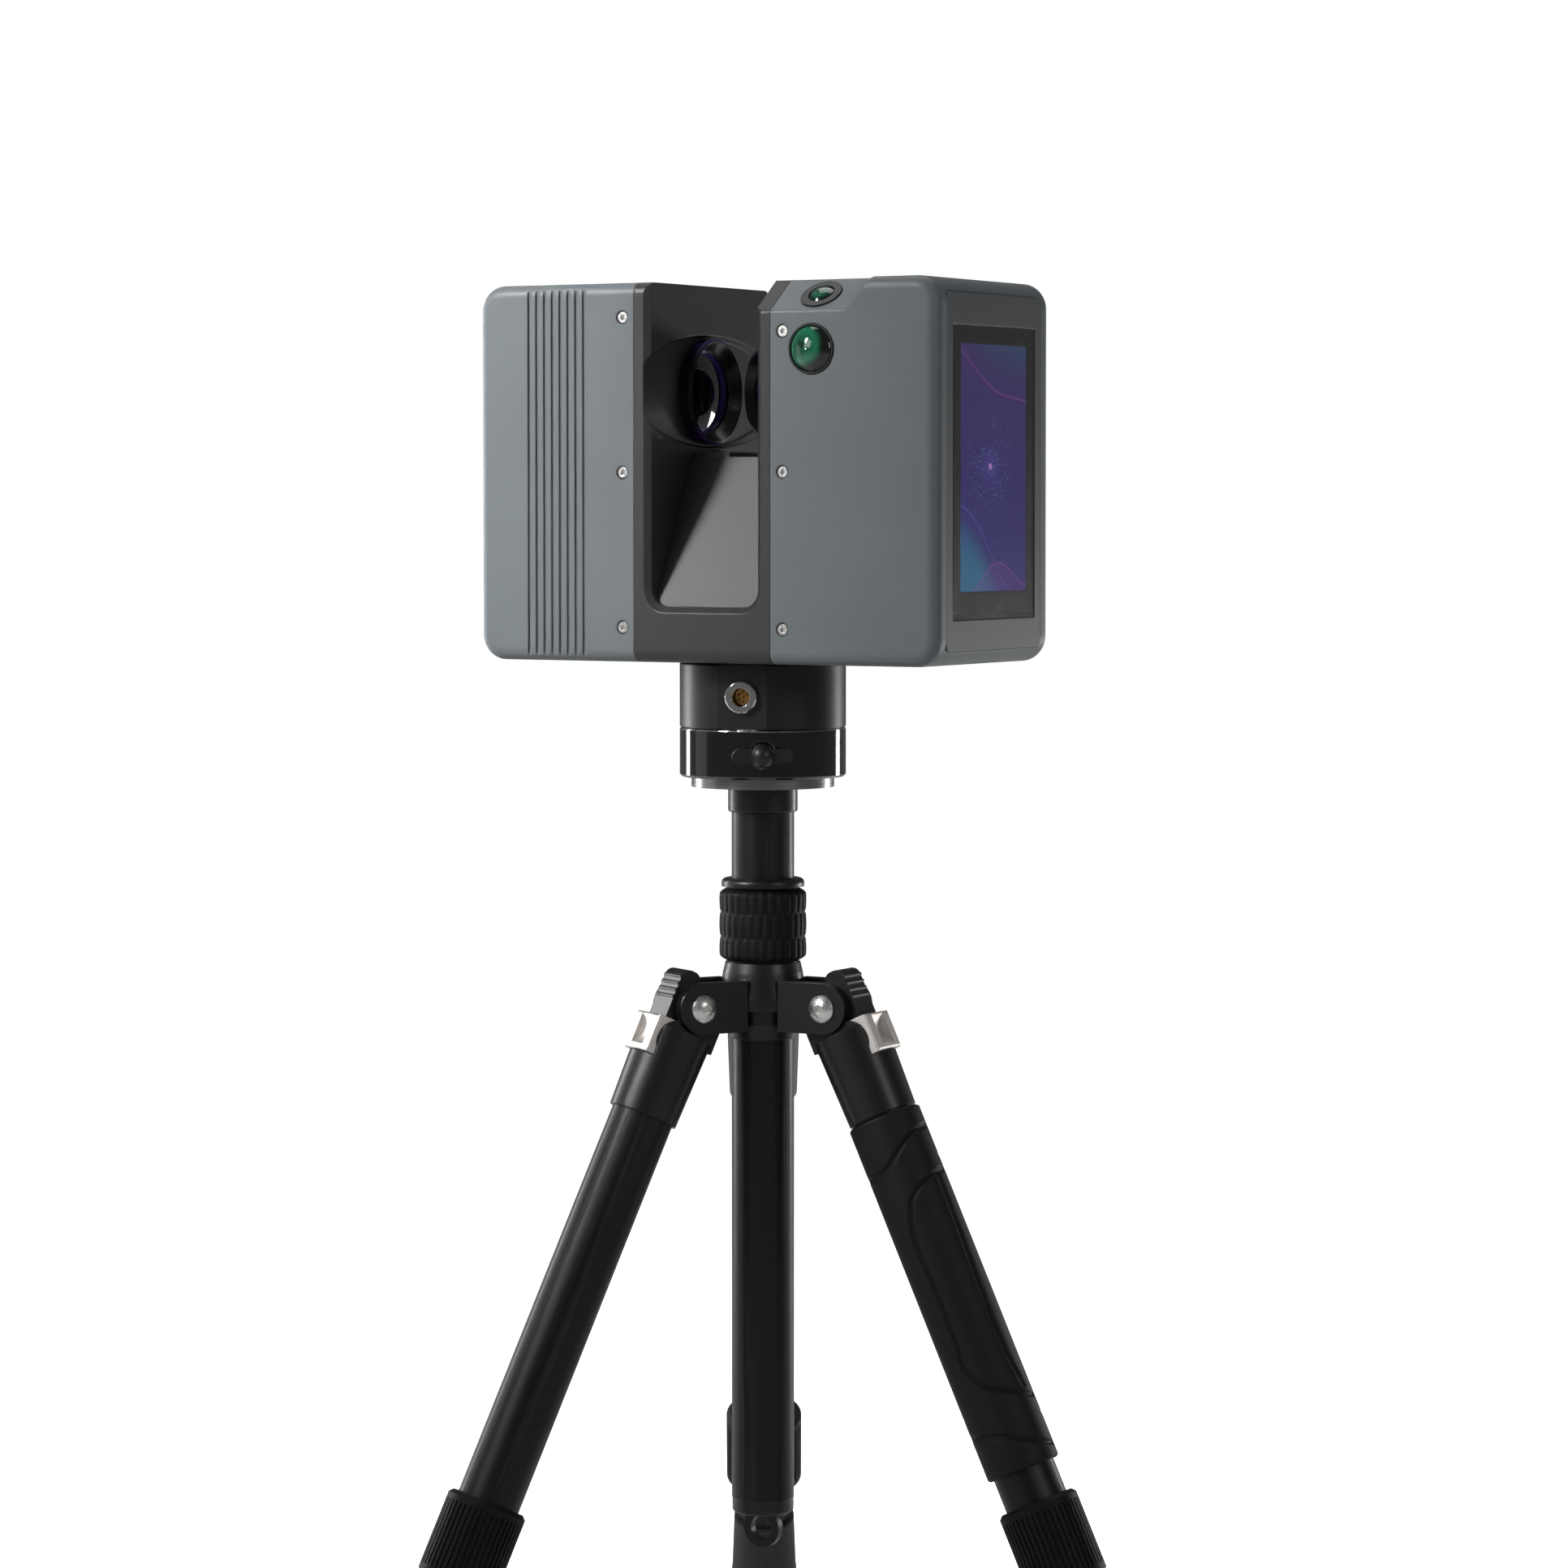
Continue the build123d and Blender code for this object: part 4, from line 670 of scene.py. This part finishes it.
for edge, thickness, colour in (
    (high_hill, 0.008, (0.30, 0.06, 0.4)),
    (low_hill, 0.010, (0.12, 0.12, 0.55)),
    (mauve_hill, 0.010, (0.3, 0.08, 0.5)),
):
    picture = mix(tree, calc(tree, "MULTIPLY", ridge(tall, edge, thickness), 0.6), picture, colour)
glow_across, glow_tall = 0.45, 0.506
reach = calc(
    tree, "SQRT",
    calc(
        tree, "ADD",
        calc(tree, "POWER", calc(tree, "MULTIPLY", calc(tree, "SUBTRACT", across, glow_across), 0.57), 2.0),
        calc(tree, "POWER", calc(tree, "SUBTRACT", tall, glow_tall), 2.0),
    ),
)
dots = tree.nodes.new(NODE + "TexVoronoi")
tree.links.new(object_place(tree), dots.inputs["Vector"])
dots.inputs["Scale"].default_value = 420.0
specks = band(tree, dots.outputs["Distance"], 0.28, 0.12)
specks = calc(tree, "MULTIPLY", specks, band(tree, reach, 0.3, 0.04))
picture = mix(tree, calc(tree, "MULTIPLY", specks, 0.8), picture, (0.12, 0.4, 0.8))
picture = mix(tree, band(tree, reach, 0.12, 0.0, 0.0, 0.35), picture, (0.15, 0.10, 0.6))
picture = mix(tree, band(tree, reach, 0.02, 0.004), picture, (0.75, 0.35, 0.9))
tree.links.new(picture, shader_of(display).inputs["Emission Color"])
dress(display, "display_panel")
print("display nodes:", len(tree.nodes))

# %% [markdown]
# The screen's glass is a real pane with ground edges, a hair smaller than its seat. The frame's own
# pane has sharp corners, so a bevelled one stands for it.

# %% Screen pane
def new_piece(name, mesh_builder, material, body, slot, *replaced):
    """Makes an object from a bmesh, gives it a finish and lets it ride on a body."""
    mesh = bpy.data.meshes.new(name)
    mesh_builder.to_mesh(mesh)
    mesh_builder.free()
    for polygon in mesh.polygons:
        polygon.use_smooth = True
    piece = bpy.data.objects.new(name, mesh)
    scene.collection.objects.link(piece)
    mesh.materials.append(material)
    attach(piece, body)
    if replaced:
        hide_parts(*replaced)
    return piece


cover_glass = finish("cover_glass", Base_Color=(1, 1, 1), Roughness=0.02, Transmission_Weight=1.0, IOR=1.45)
smudges = effect(cover_glass, "grain", Size=0.002, Blotch_Size=0.03)
smeared = band(cover_glass.node_tree, smudges.outputs["Blotch"], 0.45, 0.8, 0.01, 0.05)
cover_glass.node_tree.links.new(smeared, shader_of(cover_glass).inputs["Roughness"])
pane_gap = 0.00004
pane_size = glass_high - glass_low - Vector((pane_gap, 0, 0))
pane_mesh = bmesh.new()
bmesh.ops.create_cube(pane_mesh, size=1)
bmesh.ops.scale(pane_mesh, vec=pane_size, verts=pane_mesh.verts)
pane_middle = (glass_low + glass_high + Vector((pane_gap, 0, 0))) / 2
bmesh.ops.translate(pane_mesh, vec=pane_middle, verts=pane_mesh.verts)
bmesh.ops.bevel(pane_mesh, geom=list(pane_mesh.edges), offset=0.0004, segments=3, profile=0.5, affect="EDGES")
pane = new_piece("screen_pane", pane_mesh, cover_glass, "head", "cover_glass", "screen_glass")
for polygon in pane.data.polygons:
    polygon.use_smooth = False
print("pane faces:", len(pane.data.polygons))

# %% [markdown]
# Twist locks and the leg's grip are moulded rubber. On the column's lock and the grip the relief is
# too deep for shading alone: it breaks the outline. So each of these two is a sleeve built as a grid of
# points round an axis, and a function says how far every point stands from that axis. The same
# builder serves both.

# %% Sleeve builder
def sleeve(origin, axis, outward, length, bore, radius_at, around, along):
    """A closed sleeve round an axis. radius_at(angles, lengths) gives its outer radius as arrays."""
    side = axis.cross(outward)
    angles = np.linspace(0, tau, around, endpoint=False)
    lengths = np.linspace(0, length, along)
    grid_angles, grid_lengths = np.meshgrid(angles, lengths)
    outer = radius_at(grid_angles, grid_lengths)
    inner = np.full((1, around), bore)
    radii = np.vstack([inner, outer, inner])
    heights = np.vstack([grid_lengths[:1], grid_lengths, grid_lengths[-1:]])
    points = (
        np.array(origin)
        + heights[..., None] * np.array(axis)
        + (radii * np.cos(angles))[..., None] * np.array(outward)
        + (radii * np.sin(angles))[..., None] * np.array(side)
    )
    mesh = bmesh.new()
    rows = [[mesh.verts.new(point) for point in row] for row in points]
    for low, high in zip(rows, rows[1:] + rows[:1]):
        for index in range(around):
            after = (index + 1) % around
            mesh.faces.new((low[index], low[after], high[after], high[index]))
    bmesh.ops.recalc_face_normals(mesh, faces=mesh.faces)
    return mesh


def smooth(value, low, high):
    """The smooth step, on arrays."""
    share = np.clip((value - low) / (high - low), 0, 1)
    return share * share * (3 - 2 * share)


print("sleeve builder ready")

# %% [markdown]
# The column's lock has three rows of short ribs. Ribs of the middle row stand half a rib to the side
# of the others, as bricks do, and the rows swell a little between shallow waists.

# %% Column lock ribs
lock_low, lock_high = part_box("column_lock_grip")
rib_count = 30
row_count = 3
rib_relief = 0.0005
row_swell = 0.0003  # how far the middle of a row stands out past its waists
end_rounding = 0.0032
lock_around, lock_along = 480, 72
lock_radius = (lock_high.x - lock_low.x) / 2
lock_length = lock_high.z - lock_low.z
lock_bore = 0.01836  # just over the sleeve that the rubber sits on


def lock_radius_at(angles, lengths):
    share = lengths / lock_length
    row = np.clip(np.floor(share * row_count), 0, row_count - 1)
    within = share * row_count - row
    swell = 0.5 - 0.5 * np.cos(within * tau)
    rib = 0.5 + 0.5 * np.cos(angles * rib_count + row * pi)
    ridge_height = smooth(rib, 0.1, 0.75) * smooth(np.minimum(within, 1 - within), 0.0, 0.12)
    rounding = end_rounding * (1 - smooth(np.minimum(share, 1 - share), 0, 0.1)) ** 1.5
    return lock_radius - row_swell * (1 - swell) - rib_relief * (1 - ridge_height) - rounding


lock_rubber = skin(
    "lock_rubber", (0.0045, 0.0065, 0.008), (0.016, 0.019, 0.023),
    grain=0.0006, relief=0.00003, edge=0.0004, rough=(0.5, 0.64), Specular_IOR_Level=0.2,
)
lock_mesh = sleeve(
    Vector((0, 0, lock_low.z)), Vector((0, 0, 1)), Vector((1, 0, 0)),
    lock_length, lock_bore, lock_radius_at, lock_around, lock_along,
)
new_piece("column_lock_ribs", lock_mesh, lock_rubber, "column_lock", "lock_rubber", "column_lock_grip")
dress(lock_rubber, *(f"leg_{leg}_twist_lock" for leg in (1, 2, 3)))
print("lock radius", round(lock_radius, 4), "length", round(lock_length, 4))

# %% [markdown]
# One leg wears a rubber hand grip. Moulded grooves wind round it: a wave near each end and between
# them a long panel with rounded corners. Each groove is a smooth line on the unrolled sleeve, with
# the way round across and the length along. A point's depth depends on how near the closest line is.

# %% Leg grip
tube_point, leg_down = tube_line("leg_1_lower_tube")
leg_out = Vector((0, 1, 0)).cross(leg_down).normalized()
grip_radius = 0.019
grip_bore = 0.01605  # just over the carbon tube
grip_ends = [
    (nodes["leg_1_grip"].data.vertices[index].co - tube_point).dot(leg_down)
    for index in range(len(nodes["leg_1_grip"].data.vertices))
]
grip_start, grip_end = min(grip_ends), max(grip_ends)
grip_length = grip_end - grip_start
groove_depth = 0.0015
groove_half = 0.0019
grip_inset = 0.0001
grip_end_rounding = 0.0012
grip_around, grip_along = 220, 380
front_angle = radians(62.4)


def smooth_line(points, count=160):
    """A Catmull-Rom line through points, as arrays of angle times radius and length."""
    points = np.array(points, float)
    padded = np.vstack([2 * points[0] - points[1], points, 2 * points[-1] - points[-2]])
    steps = np.linspace(0, len(points) - 1, count)
    index = np.minimum(steps.astype(int), len(points) - 2)
    t = (steps - index)[:, None]
    a, b, c, d = (padded[index + shift] for shift in range(4))
    return 0.5 * (2 * b + (c - a) * t + (2 * a - 5 * b + 4 * c - d) * t**2 + (3 * b - a - 3 * c + d) * t**3)


# (side of the leg from -1 to 1, millimetres from the grip's upper end)
upper_wave = [
    (-1.0, 27.5), (-0.84, 27.4), (-0.39, 25.8), (0.08, 19.5), (0.54, 13.8), (0.93, 11.8), (1.0, 11.6),
]
panel_left = [
    (1.0, 35.5), (0.84, 35.9), (0.43, 38.5), (0.0, 43.6), (-0.27, 51.4),
    (-0.45, 66.0), (-0.42, 84.0), (-0.41, 103.0), (-0.42, 122.0),
]
panel_foot = [(-0.42, 122.0), (-0.48, 132.0), (-0.18, 143.4), (0.16, 147.9), (0.87, 155.0), (1.0, 156.0)]
panel_right = [(0.82, 38.0), (0.8, 60.0), (0.76, 85.0), (0.72, 115.0), (0.76, 135.0), (0.85, 150.0)]
lower_wave = [(-1.0, 165.5), (-0.82, 166.4), (-0.25, 169.8), (0.35, 175.4), (0.89, 180.6), (1.0, 181.5)]


def unrolled(line, turn):
    """A line's points as distance round the sleeve and along it, in metres."""
    return smooth_line([((front_angle - asin(side) + turn) * grip_radius, gap / 1000) for side, gap in line])


grooves = [
    unrolled(line, turn)
    for line in (upper_wave, panel_left, panel_foot, panel_right, lower_wave)
    for turn in (0, pi)
]


def grip_radius_at(angles, lengths):
    round_way = angles * grip_radius
    girth = tau * grip_radius
    nearest = np.full(angles.shape, 1.0)
    for line in grooves:
        for spot_round, spot_along in line:
            apart = (round_way - spot_round + girth / 2) % girth - girth / 2
            nearest = np.minimum(nearest, np.hypot(apart, lengths - spot_along))
    rounding = grip_end_rounding * (1 - smooth(np.minimum(lengths, grip_length - lengths), 0, 0.0015)) ** 2
    return grip_radius - grip_inset - groove_depth * (1 - smooth(nearest, 0, groove_half)) - rounding


grip_rubber = skin(
    "grip_rubber", (0.006, 0.006, 0.007), (0.014, 0.014, 0.014),
    grain=0.0007, relief=0.00008, edge=0.0004, rough=(0.5, 0.64), Specular_IOR_Level=0.3,
)
grip_mesh = sleeve(
    tube_point + leg_down * grip_start, leg_down, leg_out, grip_length, grip_bore, grip_radius_at, grip_around, grip_along
)
new_piece("leg_grip", grip_mesh, grip_rubber, "leg_1_upper", "grip_rubber", "leg_1_grip")
print("grip", round(grip_length, 4), "m long,", len(grooves), "grooves")

# %% [markdown]
# The floor is a wide plain disc, pale and matt. Its edge turns up softly, so no line shows where the
# floor ends. It isn't part of the object.

# %% Floor
floor_mesh = bmesh.new()
floor_radius = 9.0
rise_start = 7.0
floor_sides = 96
previous = None
for radius in (0.0, 2.0, 4.0, 6.0, 7.0, 7.5, 8.0, 8.5, 9.0):
    rise = 0.35 * max(0.0, (radius - rise_start) / (floor_radius - rise_start)) ** 2
    if radius == 0.0:
        previous = [floor_mesh.verts.new((0, 0, 0))]
        continue
    turns = [index * tau / floor_sides for index in range(floor_sides)]
    circle = [floor_mesh.verts.new((radius * cos(turn), radius * sin(turn), rise)) for turn in turns]
    for index in range(floor_sides):
        after = (index + 1) % floor_sides
        if len(previous) == 1:
            floor_mesh.faces.new((previous[0], circle[index], circle[after]))
        else:
            floor_mesh.faces.new((previous[index], circle[index], circle[after], previous[after]))
    previous = circle
floor_data = bpy.data.meshes.new("floor")
floor_mesh.to_mesh(floor_data)
floor_mesh.free()
floor = bpy.data.objects.new("floor", floor_data)
scene.collection.objects.link(floor)
pale = (0.86, 0.86, 0.86)
floor_paint = skin("floor_paint", pale, pale, grain=0.01, drift=0.01, rough=(0.8, 0.9), edge_highlight=0.0)
tree = floor_paint.node_tree
seen = tree.nodes.new(NODE + "LightPath").outputs["Is Camera Ray"]
floor_glow = mix(tree, seen, (0.03, 0.03, 0.03), (0.95, 0.95, 0.95))
tree.links.new(floor_glow, shader_of(floor_paint).inputs["Emission Color"])
shader_of(floor_paint).inputs["Emission Strength"].default_value = 1.0
floor_data.materials.append(floor_paint)
print("floor radius", floor_radius, "m")
